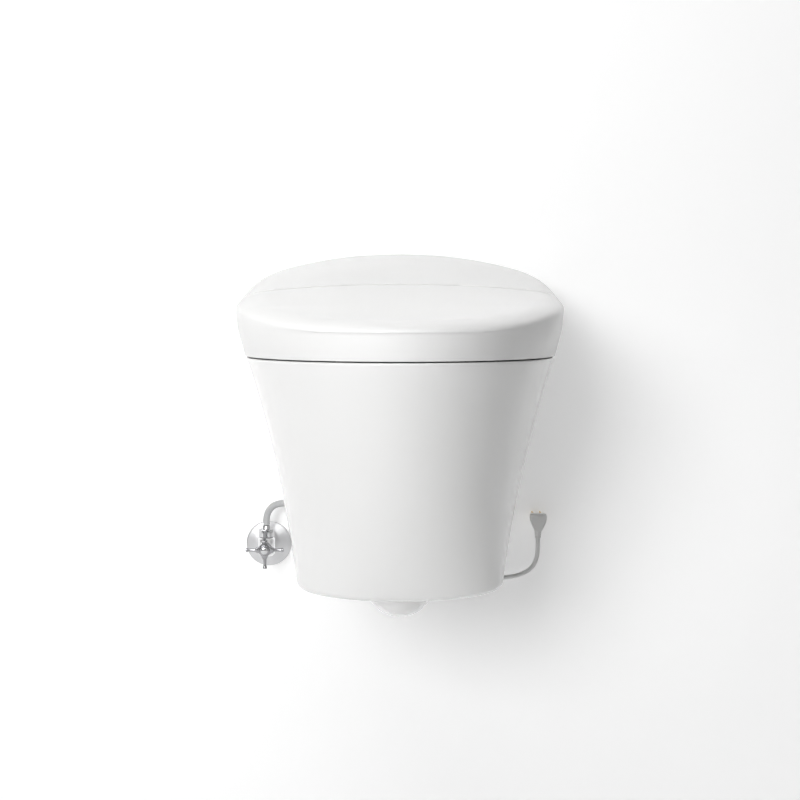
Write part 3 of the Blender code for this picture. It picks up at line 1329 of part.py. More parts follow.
def make_nozzle_drive():
    floor_v = -WAND_RADIUS - SLIDE_GAP - GUIDE_WALL
    back = in_bay(-GUIDE_BACK, floor_v)
    front = in_bay(-GUIDE_FRONT, floor_v)
    top_back = in_bay(-GUIDE_BACK, GUIDE_TOP)
    top_front = in_bay(-GUIDE_FRONT, GUIDE_TOP)
    heel = -CHASSIS_BAY_BACK + GUIDE_WALL
    knee = in_bay(-GUIDE_FRONT - 2 * GUIDE_WALL, floor_v)
    outline = [(top_front.y, top_front.z), (top_back.y, top_back.z), (back.y, back.z),
               (back.y, UNIT_FLOOR), (heel, UNIT_FLOOR), (heel, knee.z), (front.y, front.z)]
    rail = piece("nozzle_guide", prism(outline, 'X', -GUIDE_HALF, GUIDE_HALF), GREY_PLASTIC)
    fuse(rail, "cheeks", bay_box(-PINION_PLACE - CHEEK_HALF, -PINION_PLACE + CHEEK_HALF,
                                 0.0, CHEEK_TOP, -GUIDE_HALF, GUIDE_HALF))
    step = 2 * GUIDE_WALL
    low_y = heel + step
    high_y = back.y - step
    slope = math.tan(BAY_TILT)
    opening = [(low_y, UNIT_FLOOR + GUIDE_WALL), (high_y, UNIT_FLOOR + GUIDE_WALL),
               (high_y, back.z - step * slope - GUIDE_WALL),
               (low_y, back.z - (back.y - low_y) * slope - GUIDE_WALL)]
    cut(rail, "rail_opening", prism(opening, 'X', -GUIDE_HALF - CUT, GUIDE_HALF + CUT))
    slot = WAND_RADIUS + SLIDE_GAP
    cut(rail, "wand_bore", turned(((slot, 0.0), (slot, GUIDE_BACK - GUIDE_FRONT + 2 * CUT)),
                                  in_bay(-GUIDE_BACK - CUT, 0.0), BAY_DOWN, 20))
    rib = RACK_HALF + SLIDE_GAP
    cut(rail, "rack_slot", bay_box(-GUIDE_BACK - CUT, CUT - GUIDE_FRONT, 0.0, PINION_AXIS,
                                   -rib, rib))
    room = PITCH_RADIUS + 2 * MODULE
    pinion_at = in_bay(-PINION_PLACE, PINION_AXIS)
    cut(rail, "pinion_room", bay_box(-PINION_PLACE - room, -PINION_PLACE + room, RACK_PITCH_LINE - MODULE,
                                     CHEEK_TOP + CUT, -rib, rib))
    shaft_hole = PINION_SHAFT + SLIDE_GAP
    cut(rail, "pinion_bore", turned(((shaft_hole, -GUIDE_HALF - CUT), (shaft_hole, GUIDE_HALF - GUIDE_WALL)),
                                    pinion_at, (1, 0, 0), 12))
    outline = pinion_outline(MODULE * 0.85, MODULE * 1.2, 2 * TOOTH_PLAY)
    rings = [[pinion_at + BAY_DOWN * a + BAY_UP * b + Vector((x, 0.0, 0.0)) for a, b in outline]
             for x in (-PINION_HALF, PINION_HALF)]
    pinion = piece("nozzle_pinion", skin(rings), BRASS, pinion_at)
    fuse(pinion, "pinion_shaft",
         turned(((PINION_SHAFT, -GUIDE_HALF + GAP), (PINION_SHAFT, GUIDE_HALF - GUIDE_WALL - SLIDE_GAP)),
                pinion_at, (1, 0, 0), 12))
    start = (-GUIDE_HALF - GAP, pinion_at.y, pinion_at.z)
    piece("nozzle_motor", turned(((STEPPER_RADIUS, 0.0), (STEPPER_RADIUS, STEPPER_LENGTH * 0.9),
                                  (STEPPER_RADIUS * 0.85, STEPPER_LENGTH)), start, (-1, 0, 0), 20),
          DARK_PLASTIC)


def make_fascia():
    mesh = bay_box(-FASCIA, 0.0, -FASCIA_LOW, FASCIA_HIGH, -FASCIA_HALF, FASCIA_HALF)
    fascia = piece("bay_fascia", mesh, WHITE_PLASTIC)
    deep = (-FASCIA - CUT, CUT)
    rings = [[in_bay(u, v, x) for x, v in
              rounded((-NOZZLE_WINDOW, -NOZZLE_WINDOW), (NOZZLE_WINDOW, NOZZLE_WINDOW), CUT, 4)]
             for u in deep]
    cut(fascia, "nozzle_window", skin(rings))
    cut(fascia, "rack_window", bay_box(deep[0], deep[1], 0.0, RACK_WINDOW_TOP, -RACK_WINDOW, RACK_WINDOW))
    cut(fascia, "dryer_window", bay_box(deep[0], deep[1], -WINDOW_HIGH, FLAP_PIVOT + CUT / 2,
                                        SIDE_PORT - WINDOW_HALF, SIDE_PORT + WINDOW_HALF))
    slots = 4
    pitch = 2 * WINDOW_HALF / slots
    for index in range(slots):
        x = -SIDE_PORT + (index - (slots - 1) / 2) * pitch
        cut(fascia, "intake_" + str(index), bay_box(deep[0], deep[1], -WINDOW_HIGH, WINDOW_HIGH,
                                                    x - pitch * 0.3, x + pitch * 0.3))


# Dryer and deodoriser

def scroll(inset, mouth):
    """Side outline of the fan casing about its shaft, in u and v."""
    first = math.radians(12)
    last = math.radians(-270)
    points = []
    for step in range(21):
        angle = first + (last - first) * step / 20
        radius = SCROLL_SMALL + (SCROLL_LARGE - SCROLL_SMALL) * step / 20 - inset
        points.append((radius * math.cos(angle), radius * math.sin(angle)))
    throat = THROAT_LOW + inset
    return points + [(mouth, SCROLL_LARGE - inset), (mouth, throat), (SCROLL_SMALL, throat)]


def make_dryer():
    centre = in_bay(-FAN_BACK, -FAN_DROP, SIDE_PORT)
    mouth = FAN_BACK - DUCT_BACK - GAP
    outer = [(u - FAN_BACK, v - FAN_DROP) for u, v in scroll(0.0, mouth)]
    inner = [(u - FAN_BACK, v - FAN_DROP) for u, v in scroll(FAN_WALL, mouth + CUT)]
    left = SIDE_PORT - FAN_HALF
    right = SIDE_PORT + FAN_HALF
    casing = piece("dryer_fan_casing", bay_prism(outer, left, right), DARK_PLASTIC)
    foot_z = centre.z - SCROLL_SMALL * 0.6
    fuse(casing, "fan_foot", box((left + FAN_WALL, centre.y - SCROLL_SMALL * 0.5, UNIT_FLOOR),
                                 (right - FAN_WALL, centre.y + SCROLL_SMALL * 0.5, foot_z)))
    cut(casing, "fan_space", bay_prism(inner, left + FAN_WALL, right - FAN_WALL))
    cut(casing, "fan_intake", turned(((INTAKE_RADIUS, 0.0), (INTAKE_RADIUS, FAN_HALF + CUT)),
                                     centre, (1, 0, 0), 20))
    cut(casing, "fan_bore", turned(((FAN_BORE, 0.0), (FAN_BORE, FAN_HALF + CUT)),
                                   centre, (-1, 0, 0), 16))
    blades = []
    for index in range(IMPELLER_BLADES):
        middle = math.tau * index / IMPELLER_BLADES
        step = math.pi / IMPELLER_BLADES
        for radius, angle in ((IMPELLER_HUB, middle - step), (IMPELLER_HUB, middle - BLADE_HALF_ANGLE * 2),
                              (IMPELLER_RADIUS, middle + BLADE_HALF_ANGLE * 1.5),
                              (IMPELLER_RADIUS, middle + BLADE_HALF_ANGLE * 3),
                              (IMPELLER_HUB, middle + BLADE_HALF_ANGLE * 2)):
            blades.append((radius * math.cos(angle), radius * math.sin(angle)))
    rings = [[centre + BAY_DOWN * a + BAY_UP * b + Vector((x, 0.0, 0.0)) for a, b in blades]
             for x in (-IMPELLER_HALF, IMPELLER_HALF)]
    impeller = piece("dryer_impeller", skin(rings), GREY_PLASTIC, centre)
    fuse(impeller, "impeller_plate",
         turned(((IMPELLER_RADIUS, -IMPELLER_HALF - FAN_WALL / 2), (IMPELLER_RADIUS, -IMPELLER_HALF + FAN_WALL / 2)),
                centre, (1, 0, 0), 28))
    shaft_end = FAN_HALF + GAP
    cut(impeller, "impeller_bore",
        turned(((FAN_SHAFT_RADIUS + SLIDE_GAP, -shaft_end), (FAN_SHAFT_RADIUS + SLIDE_GAP, IMPELLER_HALF * 0.6)),
               centre, (1, 0, 0), 12))
    motor_face = Vector((left - GAP, centre.y, centre.z))
    motor = piece("dryer_fan_motor",
                  turned(((FAN_MOTOR_RADIUS, 0.0), (FAN_MOTOR_RADIUS, FAN_MOTOR_LENGTH * 0.85),
                          (FAN_MOTOR_RADIUS * 0.8, FAN_MOTOR_LENGTH)), motor_face, (-1, 0, 0), 20), STEEL)
    fuse(motor, "motor_shaft",
         turned(((FAN_SHAFT_RADIUS, -CUT), (FAN_SHAFT_RADIUS, FAN_HALF + GAP + IMPELLER_HALF * 0.55)),
                motor_face, (1, 0, 0), 12))
    duct = piece("dryer_duct", bay_box(-DUCT_BACK, -DUCT_FRONT, -DUCT_HIGH - DUCT_WALL, DUCT_HIGH + DUCT_WALL,
                                       SIDE_PORT - DUCT_HALF, SIDE_PORT + DUCT_HALF), GREY_PLASTIC)
    cut(duct, "duct_space", bay_box(-DUCT_BACK - CUT, -DUCT_FRONT + CUT, -DUCT_HIGH, DUCT_HIGH,
                                    SIDE_PORT - DUCT_HALF + DUCT_WALL, SIDE_PORT + DUCT_HALF - DUCT_WALL))
    pin = in_bay(-FASCIA / 2, FLAP_PIVOT)
    half = WINDOW_HALF - FLAP_SPACE
    flap = piece("dryer_flap", bay_box(-FASCIA / 2 - FLAP / 2, -FASCIA / 2 + FLAP / 2,
                                       -WINDOW_HIGH + FLAP_SPACE, FLAP_PIVOT,
                                       SIDE_PORT - half, SIDE_PORT + half), WHITE_PLASTIC,
                 pin + Vector((SIDE_PORT, 0.0, 0.0)))
    fuse(flap, "flap_pin", turned(((FLAP_PIN_RADIUS, SIDE_PORT - half), (FLAP_PIN_RADIUS, SIDE_PORT + half)),
                                  pin, (1, 0, 0), 12))


def make_cartridge():
    half = WINDOW_HALF
    cartridge = piece("deodoriser_cartridge",
                      bay_box(-CARTRIDGE_BACK, -FASCIA - GAP, -WINDOW_HIGH, WINDOW_HIGH,
                              -SIDE_PORT - half, -SIDE_PORT + half), WHITE_PLASTIC)
    for index in range(3):
        u = -CARTRIDGE_BACK * (0.35 + 0.2 * index)
        cut(cartridge, "grip_" + str(index), bay_box(u, u + FASCIA, WINDOW_HIGH - FASCIA / 2,
                                                     WINDOW_HIGH + CUT, -SIDE_PORT - half - CUT,
                                                     -SIDE_PORT + half + CUT))


# Water and electric units

def make_water_units():
    left = -HEATER_SIDE - HEATER_HALF
    heater = piece("water_heater", box((left, -HEATER_FRONT, UNIT_FLOOR),
                                       (left + 2 * HEATER_HALF, -HEATER_BACK, UNIT_FLOOR + HEATER_HEIGHT)),
                   DARK_PLASTIC)
    soften(heater, HEATER_PORT, 2)
    for index in (0, 1):
        x = -HEATER_SIDE + (index - 0.5) * HEATER_HALF
        fuse(heater, "heater_port_" + str(index),
             turned(((HEATER_PORT, 0.0), (HEATER_PORT, HEATER_PORT * 4)),
                    (x, -HEATER_BACK - HEATER_PORT, UNIT_FLOOR + HEATER_HEIGHT * 0.7), (0, 1, 0), 12))
    middle = (-PUMP_SIDE, -PUMP_PLACE, UNIT_FLOOR + PUMP_RADIUS + GAP)
    pump = piece("wash_pump",
                 turned(((PUMP_RADIUS * 0.85, -PUMP_HALF), (PUMP_RADIUS * 0.95, -PUMP_HALF * 0.92),
                         (PUMP_RADIUS * 0.95, PUMP_HALF - PUMP_HEAD), (PUMP_RADIUS, PUMP_HALF - PUMP_HEAD),
                         (PUMP_RADIUS, PUMP_HALF), (PUMP_RADIUS * 0.5, PUMP_HALF)), middle, (0, 1, 0), 22),
                 DARK_PLASTIC)
    fuse(pump, "pump_port", turned(((HEATER_PORT, 0.0), (HEATER_PORT, PUMP_HEAD_RADIUS + HEATER_PORT)),
                                   (middle[0], middle[1] + PUMP_HALF - PUMP_HEAD / 2, middle[2]),
                                   (0, 0, 1), 12))
    fuse(pump, "pump_foot", box((middle[0] - PUMP_FOOT, middle[1] - PUMP_FOOT, UNIT_FLOOR),
                                (middle[0] + PUMP_FOOT, middle[1] + PUMP_FOOT, middle[2])))
    low = (-SERVICE_SIDE - VALVE_BLOCK_HALF, -VALVE_BLOCK_FRONT, UNIT_FLOOR)
    high = (-SERVICE_SIDE + VALVE_BLOCK_HALF, -VALVE_BLOCK_BACK, UNIT_FLOOR + VALVE_BLOCK_HEIGHT)
    valve = piece("inlet_valve", box(low, high), WHITE_PLASTIC)
    soften(valve, BRACKET / 2, 2)
    fuse(valve, "solenoid", turned(((COIL_CAN_RADIUS, 0.0), (COIL_CAN_RADIUS, COIL_CAN_HEIGHT * 0.92),
                                    (COIL_CAN_RADIUS * 0.8, COIL_CAN_HEIGHT)),
                                   (-SERVICE_SIDE, -SERVICE_BACK, high[2] - BRACKET), (0, 0, 1), 18))
    top = CHASSIS_FACE
    thread = INLET_TAIL * 0.75
    connector = piece("inlet_connector",
                      turned(((thread, INLET_DROP + INLET_NUT_HEIGHT), (thread, top)),
                             (-SERVICE_SIDE, -SERVICE_BACK, 0.0), (0, 0, 1), 18), BRASS)
    fuse(connector, "inlet_nut",
         turned(((INLET_NUT_RADIUS * 0.85, INLET_DROP), (INLET_NUT_RADIUS, INLET_DROP + GUIDE_WALL / 2),
                 (INLET_NUT_RADIUS, INLET_DROP + INLET_NUT_HEIGHT), (thread * 0.9, INLET_DROP + INLET_NUT_HEIGHT + CUT)),
                (-SERVICE_SIDE, -SERVICE_BACK, 0.0), (0, 0, 1), 6))
    return connector


def make_electrics():
    low = (CASE_SIDE, -CASE_FRONT, UNIT_FLOOR)
    high = (CASE_FAR_SIDE, -CASE_BACK, UNIT_FLOOR + CASE_HEIGHT)
    case = piece("board_case", box(low, high), DARK_PLASTIC)
    cut(case, "case_space", box((low[0] + CASE_WALL, low[1] + CASE_WALL, low[2] + CASE_WALL),
                                (high[0] - CASE_WALL, high[1] - CASE_WALL, high[2] + CUT)))
    board_low = low[2] + CASE_WALL + GAP
    for index, (a, b) in enumerate(POST_SHARES):
        x = low[0] + (high[0] - low[0]) * a
        y = low[1] + (high[1] - low[1]) * b
        fuse(case, "board_post_" + str(index),
             turned(((BRACKET, 0.0), (BRACKET, CASE_WALL / 2 + BOARD_LIFT)),
                    (x, y, low[2] + CASE_WALL / 2), (0, 0, 1), 10))
    floor = low[2] + CASE_WALL + BOARD_LIFT + GAP
    edge = CASE_WALL + SLIDE_GAP * 2
    board = piece("control_board", box((low[0] + edge, low[1] + edge, floor),
                                       (high[0] - edge, high[1] - edge, floor + BOARD)), BOARD_GREEN)
    for index, (a, b, wide, deep) in enumerate(CHIP_SHARES):
        x = low[0] + (high[0] - low[0]) * a
        y = low[1] + (high[1] - low[1]) * b
        reach_x = (high[0] - low[0]) * wide
        reach_y = (high[1] - low[1]) * deep
        fuse(board, "chip_" + str(index), box((x - reach_x, y - reach_y, floor + BOARD / 2),
                                              (x + reach_x, y + reach_y, floor + BOARD + CHIP_HEIGHT)))
    root = CHASSIS_FACE + GLAND_TOP
    tip = GLAND_DROP
    span = root - tip
    collar = SERVICE_RADIUS + BRACKET
    profile = [(GLAND_TIP_RADIUS, 0.0)]
    rings = 5
    for index in range(rings):
        low_share = (index + 0.35) / rings * 0.62
        high_share = (index + 0.65) / rings * 0.62
        radius = GLAND_TIP_RADIUS + (GLAND_RADIUS - GLAND_TIP_RADIUS) * (index + 1) / rings
        profile += [(radius - RELIEF_GROOVE, span * low_share), (radius, span * high_share)]
    seat = CHASSIS_FACE + GAP - tip
    profile += [(GLAND_RADIUS, seat), (collar, seat), (collar, seat + GLAND_TOP * 0.6),
                (GLAND_RADIUS, span)]
    piece("cord_gland", turned(profile, (SERVICE_SIDE, -SERVICE_BACK, tip), (0, 0, 1), 16), RUBBER)
    return board_low


# Stop valve

def make_stop_valve():
    wall = Vector((-STOP_X, 0.0, -STOP_Z))
    toward = (0, -1, 0)
    hole = TAIL_RADIUS + GAP
    profile = ((hole, 0.0), (ESCUTCHEON_RADIUS, 0.0), (ESCUTCHEON_RADIUS, ESCUTCHEON_DEPTH * 0.18),
               (ESCUTCHEON_RADIUS * 0.93, ESCUTCHEON_DEPTH * 0.42), (ESCUTCHEON_RADIUS * 0.72, ESCUTCHEON_DEPTH * 0.74),
               (ESCUTCHEON_RADIUS * 0.45, ESCUTCHEON_DEPTH * 0.94), (hole + GUIDE_WALL, ESCUTCHEON_DEPTH),
               (hole, ESCUTCHEON_DEPTH))
    piece("valve_escutcheon", turned(profile, wall, toward, 32, True), CHROME)
    body = piece("valve_body",
                 turned(((TAIL_RADIUS, 0.0), (TAIL_RADIUS, VALVE_REACH - VALVE_RADIUS),
                         (VALVE_RADIUS * 0.85, VALVE_REACH - VALVE_RADIUS * 0.9),
                         (VALVE_RADIUS, VALVE_REACH - VALVE_RADIUS * 0.5), (VALVE_RADIUS, VALVE_REACH + VALVE_RADIUS * 0.5),
                         (BONNET_RADIUS, VALVE_REACH + VALVE_RADIUS * 0.6), (BONNET_RADIUS, BONNET_END)),
                        wall, toward, 24), CHROME)
    fuse(body, "valve_outlet", turned(((OUTLET_RADIUS, 0.0), (OUTLET_RADIUS, OUTLET_TOP + HOSE_NUT * 0.5)),
                                      STOP_CENTRE, (0, 0, 1), 20))
    cut(body, "valve_bore", turned(((TAIL_BORE, -CUT), (TAIL_BORE, VALVE_REACH)), wall, toward, 16))
    nut_low = OUTLET_TOP
    bore = OUTLET_RADIUS + GAP
    nut = piece("hose_nut_lower", turned(((HOSE_NUT_RADIUS * 0.93, 0.0), (HOSE_NUT_RADIUS, HOSE_NUT * 0.1),
                                    (HOSE_NUT_RADIUS, HOSE_NUT), (HOSE_DIAMETER * 0.62, HOSE_NUT * 1.45)),
                                   STOP_CENTRE + Vector((0.0, 0.0, nut_low)), (0, 0, 1), 6), CHROME)
    cut(nut, "nut_bore", turned(((bore, -CUT), (bore, HOSE_NUT * 0.55)),
                                STOP_CENTRE + Vector((0.0, 0.0, nut_low)), (0, 0, 1), 20))
    hub = Vector((-STOP_X, -HANDLE_MID, -STOP_Z))
    handle = piece("valve_handle",
                   turned(((HANDLE_HUB * 0.8, -HANDLE_HUB_HALF), (HANDLE_HUB, -HANDLE_HUB_HALF * 0.7),
                           (HANDLE_HUB, HANDLE_HUB_HALF * 0.7), (HANDLE_HUB * 0.85, HANDLE_HUB_HALF)),
                          hub, toward, 20), CHROME, hub)
    reach = HANDLE_SPAN / 2
    for name, direction in (("handle_bar_level", (1, 0, 0)), ("handle_bar_upright", (0, 0, 1))):
        fuse(handle, name,
             turned(((HANDLE_ARM_END * 0.6, -reach), (HANDLE_ARM_END, -reach * 0.95), (HANDLE_ARM, -reach * 0.85),
                     (HANDLE_ARM, -HANDLE_HUB * 1.4), (HANDLE_HUB * 0.62, -HANDLE_HUB * 0.6),
                     (HANDLE_HUB * 0.62, HANDLE_HUB * 0.6), (HANDLE_ARM, HANDLE_HUB * 1.4),
                     (HANDLE_ARM, reach * 0.85), (HANDLE_ARM_END, reach * 0.95), (HANDLE_ARM_END * 0.6, reach)),
                    hub, direction, 14))
    fuse(handle, "handle_stem", turned(((HANDLE_ARM * 1.6, BONNET_END - HANDLE_MID + GAP),
                                        (HANDLE_ARM * 1.6, 0.0)), hub, toward, 14))
    face = hub + Vector((0.0, -HANDLE_HUB_HALF - GAP, 0.0))
    piece("handle_cap", turned(((HANDLE_CAP_RADIUS, 0.0), (HANDLE_CAP_RADIUS, HANDLE_CAP * 0.55),
                                (HANDLE_CAP_RADIUS * 0.6, HANDLE_CAP)), face, toward, 20), CHROME, hub)


# Power plug, cord and hose

def make_plug():
    top = -PLUG_TOP
    shoulder = top - PLUG_SHOULDER
    neck = top - PLUG_LENGTH
    half = PLUG_WIDTH / 2
    neck_half = PLUG_NECK_WIDTH / 2
    corner = PLUG_WIDTH * 0.16
    outline = arc((PLUG_X - half + corner, top - corner), corner, math.radians(90), math.radians(180), 4)
    outline += [(PLUG_X - half, shoulder), (PLUG_X - half * 0.86, shoulder - (shoulder - neck) * 0.45),
                (PLUG_X - neck_half, neck), (PLUG_X + neck_half, neck),
                (PLUG_X + half * 0.86, shoulder - (shoulder - neck) * 0.45), (PLUG_X + half, shoulder)]
    outline += arc((PLUG_X + half - corner, top - corner), corner, 0.0, math.radians(90), 4)
    face = -PLUG_BACK - PIN_PLATE - GAP
    plug = piece("plug", prism(outline, 'Y', -PLUG_FRONT, face), WHITE_PLASTIC)
    soften(plug, RELIEF_GROOVE * 2, 2, 50)
    span = RELIEF_LENGTH + PLUG_LENGTH * 0.3
    tip = neck - RELIEF_LENGTH
    profile = [(RELIEF_TIP * 0.9, 0.0)]
    for index in range(RELIEF_RINGS):
        share = (index + 0.5) / RELIEF_RINGS * RELIEF_LENGTH / span
        radius = RELIEF_TIP + (neck_half - RELIEF_TIP) * share
        step = RELIEF_LENGTH / RELIEF_RINGS
        profile += [(radius, share * span - step * 0.22), (radius, share * span + step * 0.22),
                    (radius - RELIEF_GROOVE, share * span + step * 0.30),
                    (radius - RELIEF_GROOVE, share * span + step * 0.70)]
    profile += [(neck_half * 0.9, RELIEF_LENGTH), (neck_half * 0.9, span)]
    fuse(plug, "plug_relief", turned(profile, (PLUG_X, -CORD_PLANE, tip), (0, 0, 1), 16))
    plate_half = half * 0.82
    plate = rounded((PLUG_X - plate_half, shoulder), (PLUG_X + plate_half, top - RELIEF_GROOVE * 3),
                    corner * 0.8, 3)
    pins = piece("plug_pins", prism(plate, 'Y', -PLUG_BACK - PIN_PLATE, -PLUG_BACK), BRASS)
    middle = (shoulder + top) / 2 + RELIEF_GROOVE
    for side, tag in ((-1, "left"), (1, "right")):
        x = PLUG_X + side * BLADE_SIDE
        fuse(pins, "blade_" + tag, box((x - BLADE_THICK, -PLUG_BACK - PIN_PLATE / 2, middle - BLADE_HALF + GROUND_RADIUS),
                                       (x + BLADE_THICK, -PIN_END, middle + BLADE_HALF + GROUND_RADIUS)))
    fuse(pins, "ground", turned(((GROUND_RADIUS, 0.0), (GROUND_RADIUS, PLUG_BACK - PIN_END - GROUND_RADIUS),
                                 (GROUND_RADIUS * 0.4, PLUG_BACK - PIN_END)),
                                (PLUG_X, -PLUG_BACK - PIN_PLATE / 2, middle - GROUND_DROP / 2), (0, 1, 0), 12))


def coil_points():
    """The coil's line: straight in, round its turns, straight out."""
    start = Vector((COIL_SIDE + COIL_MID_RADIUS, -COIL_BACK, -COIL_DROP))
    points = [start - Vector((0.0, 0.0, COIL_RISE))]
    count = COIL_TURNS * COIL_LOOP_POINTS
    for index in range(count + 1):
        angle = math.tau * index / COIL_LOOP_POINTS
        points.append(Vector((COIL_SIDE + COIL_MID_RADIUS * math.cos(angle),
                              -COIL_BACK - COIL_PITCH * angle / math.tau,
                              -COIL_DROP + COIL_MID_RADIUS * math.sin(angle))))
    points.append(points[-1] + Vector((0.0, 0.0, COIL_RISE)))
    return points


def least_gap(points, diameter):
    """The smallest clear distance between neighbouring turns of a tube."""
    least = math.inf
    far = COIL_LOOP_POINTS // 2
    for index, first in enumerate(points):
        for second in points[index + far:]:
            least = min(least, (second - first).length - diameter)
    return least


def make_cords():
    hose, hose_length = smooth_route(HOSE_ROUTE, HOSE_SPACING)
    tube("supply_hose", hose, HOSE_DIAMETER, BRAID, 3)
    lead, lead_length = smooth_route(CORD_ROUTE, CORD_SPACING)
    tube("power_cord", lead, CORD_DIAMETER, WHITE_PLASTIC, 2)
    coil = coil_points()
    tube("power_cord_coil", coil, CORD_DIAMETER, WHITE_PLASTIC, 1)
    tail, tail_length = smooth_route(TAIL_ROUTE, CORD_SPACING)
    tube("power_cord_tail", tail, CORD_DIAMETER, WHITE_PLASTIC, 2)
    coil_length = sum((b - a).length for a, b in zip(coil, coil[1:]))
    print("hose length", round(hose_length, 4))
    print("cord length", round(lead_length + coil_length + tail_length, 4))
    print("least gap between the coil's turns", round(least_gap(coil, CORD_DIAMETER), 5))
    radius = CORD_DIAMETER / 2
    near = -COIL_BACK - COIL_PITCH / 2 + radius + GAP
    far = -COIL_BACK - COIL_PITCH * (COIL_TURNS - 0.5) - radius - GAP
    middle = COIL_SIDE - COIL_MID_RADIUS
    bend = radius * 0.3
    left = middle - radius - GAP
    right = middle + radius + GAP + bend
    low = -COIL_DROP - CLIP_HALF
    high = -COIL_DROP + CLIP_HALF
    clip = piece("cord_clip", box((left - CLIP_BAND, far - CLIP_BAND, low),
                                  (right + CLIP_BAND, PLATE_FACE - GAP, high)), GREY_PLASTIC)
    cut(clip, "clip_space", box((left, far, low - CUT), (right, near, high + CUT)))


def clear_scene():
    for old in list(bpy.data.objects):
        bpy.data.objects.remove(old, do_unlink=True)


def main():
    clear_scene()
    make_pan()
    make_wall_side()
    make_base()
    make_barrel()
    make_housing()
    make_buttons()
    make_lid()
    make_lid_fittings()
    make_seat()
    make_fascia()
    make_nozzle()
    make_nozzle_drive()
    make_dryer()
    make_cartridge()
    make_water_units()
    make_electrics()
    make_stop_valve()
    make_plug()
    make_cords()


main()
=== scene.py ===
# %% [markdown]
# # A wall-hung toilet with a lid, a washing seat, a stop valve and a power cord
#
# This lesson dresses a finished model of the toilet. The model is loaded as a fixed
# frame: every piece made here takes the place of one of its nodes and moves with the
# same body. All lengths are in metres, the wall is the plane y = 0, the front faces -Y
# and +Z is up.

# %% Load the model
import json
import math

import bmesh
import bpy
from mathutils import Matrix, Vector

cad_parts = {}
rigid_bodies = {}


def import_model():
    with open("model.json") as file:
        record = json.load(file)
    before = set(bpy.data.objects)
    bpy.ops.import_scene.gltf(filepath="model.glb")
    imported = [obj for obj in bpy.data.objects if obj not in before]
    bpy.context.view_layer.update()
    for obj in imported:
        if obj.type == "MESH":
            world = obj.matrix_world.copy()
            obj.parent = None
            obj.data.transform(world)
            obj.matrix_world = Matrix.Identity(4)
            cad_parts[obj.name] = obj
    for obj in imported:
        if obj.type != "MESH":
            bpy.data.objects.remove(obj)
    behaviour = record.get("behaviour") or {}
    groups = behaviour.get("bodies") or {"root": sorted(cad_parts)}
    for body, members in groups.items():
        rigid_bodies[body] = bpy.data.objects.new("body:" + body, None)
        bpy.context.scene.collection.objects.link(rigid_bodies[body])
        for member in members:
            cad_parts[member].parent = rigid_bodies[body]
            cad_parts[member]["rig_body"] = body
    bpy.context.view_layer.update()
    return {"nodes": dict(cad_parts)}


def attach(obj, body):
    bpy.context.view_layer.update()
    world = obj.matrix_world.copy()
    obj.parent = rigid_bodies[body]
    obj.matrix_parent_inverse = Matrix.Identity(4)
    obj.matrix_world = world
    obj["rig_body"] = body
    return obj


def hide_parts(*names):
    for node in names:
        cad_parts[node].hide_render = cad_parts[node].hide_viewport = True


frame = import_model()


def placed(name, data):
    """Put a mesh, curve, camera or lamp into the scene."""
    made = bpy.data.objects.new(name, data)
    bpy.context.scene.collection.objects.link(made)
    return made


# %% [markdown]
# ## The camera
#
# The picture is taken square to the wall, 1.6 m away and a little above the toilet's
# middle, looking slightly down. A lens of 45 mm on a 36 mm sensor gives that frame, so
# the camera needs no shift.

# %% Camera
CAMERA_DISTANCE = 1.6
CAMERA_HEIGHT = 0.110
CAMERA_LENS = 45.27
CAMERA_PITCH = math.radians(3.81)

camera_data = bpy.data.cameras.new("camera")
camera_data.lens = CAMERA_LENS
camera_data.sensor_width = 36.0
camera = placed("camera", camera_data)
camera.location = (0.0, -CAMERA_DISTANCE, CAMERA_HEIGHT)
camera.rotation_euler = (math.radians(90) - CAMERA_PITCH, 0.0, 0.0)
bpy.context.scene.camera = camera
print("camera at", tuple(round(v, 3) for v in camera.location))

# %% [markdown]
# ## The finishes
#
# Each finish is a small node tree on one Principled shader. Nothing real has one even
# colour, so a noise on Object coordinates moves the colour and the roughness a little,
# and a second one gives the surface its fine relief. One helper makes that pattern, and
# the finishes differ in its colours, scale and strength.

# %% Helpers for finishes
def add_node(tree, kind, inputs=None, **settings):
    """A node with its settings, and a value or a link for each of its inputs."""
    made = tree.nodes.new("ShaderNode" + kind)
    for name, value in settings.items():
        setattr(made, name, value)
    for name, value in (inputs or {}).items():
        if isinstance(value, bpy.types.NodeSocket):
            tree.links.new(value, made.inputs[name])
        else:
            made.inputs[name].default_value = value
    return made


def add_ramp(tree, factor, *stops):
    """The colour for a factor, between two stops of position and colour."""
    made = add_node(tree, "ValToRGB", {"Fac": factor})
    for element, (position, colour) in zip(made.color_ramp.elements, stops):
        element.position = position
        element.color = (*colour, 1.0)
    return made.outputs["Color"]


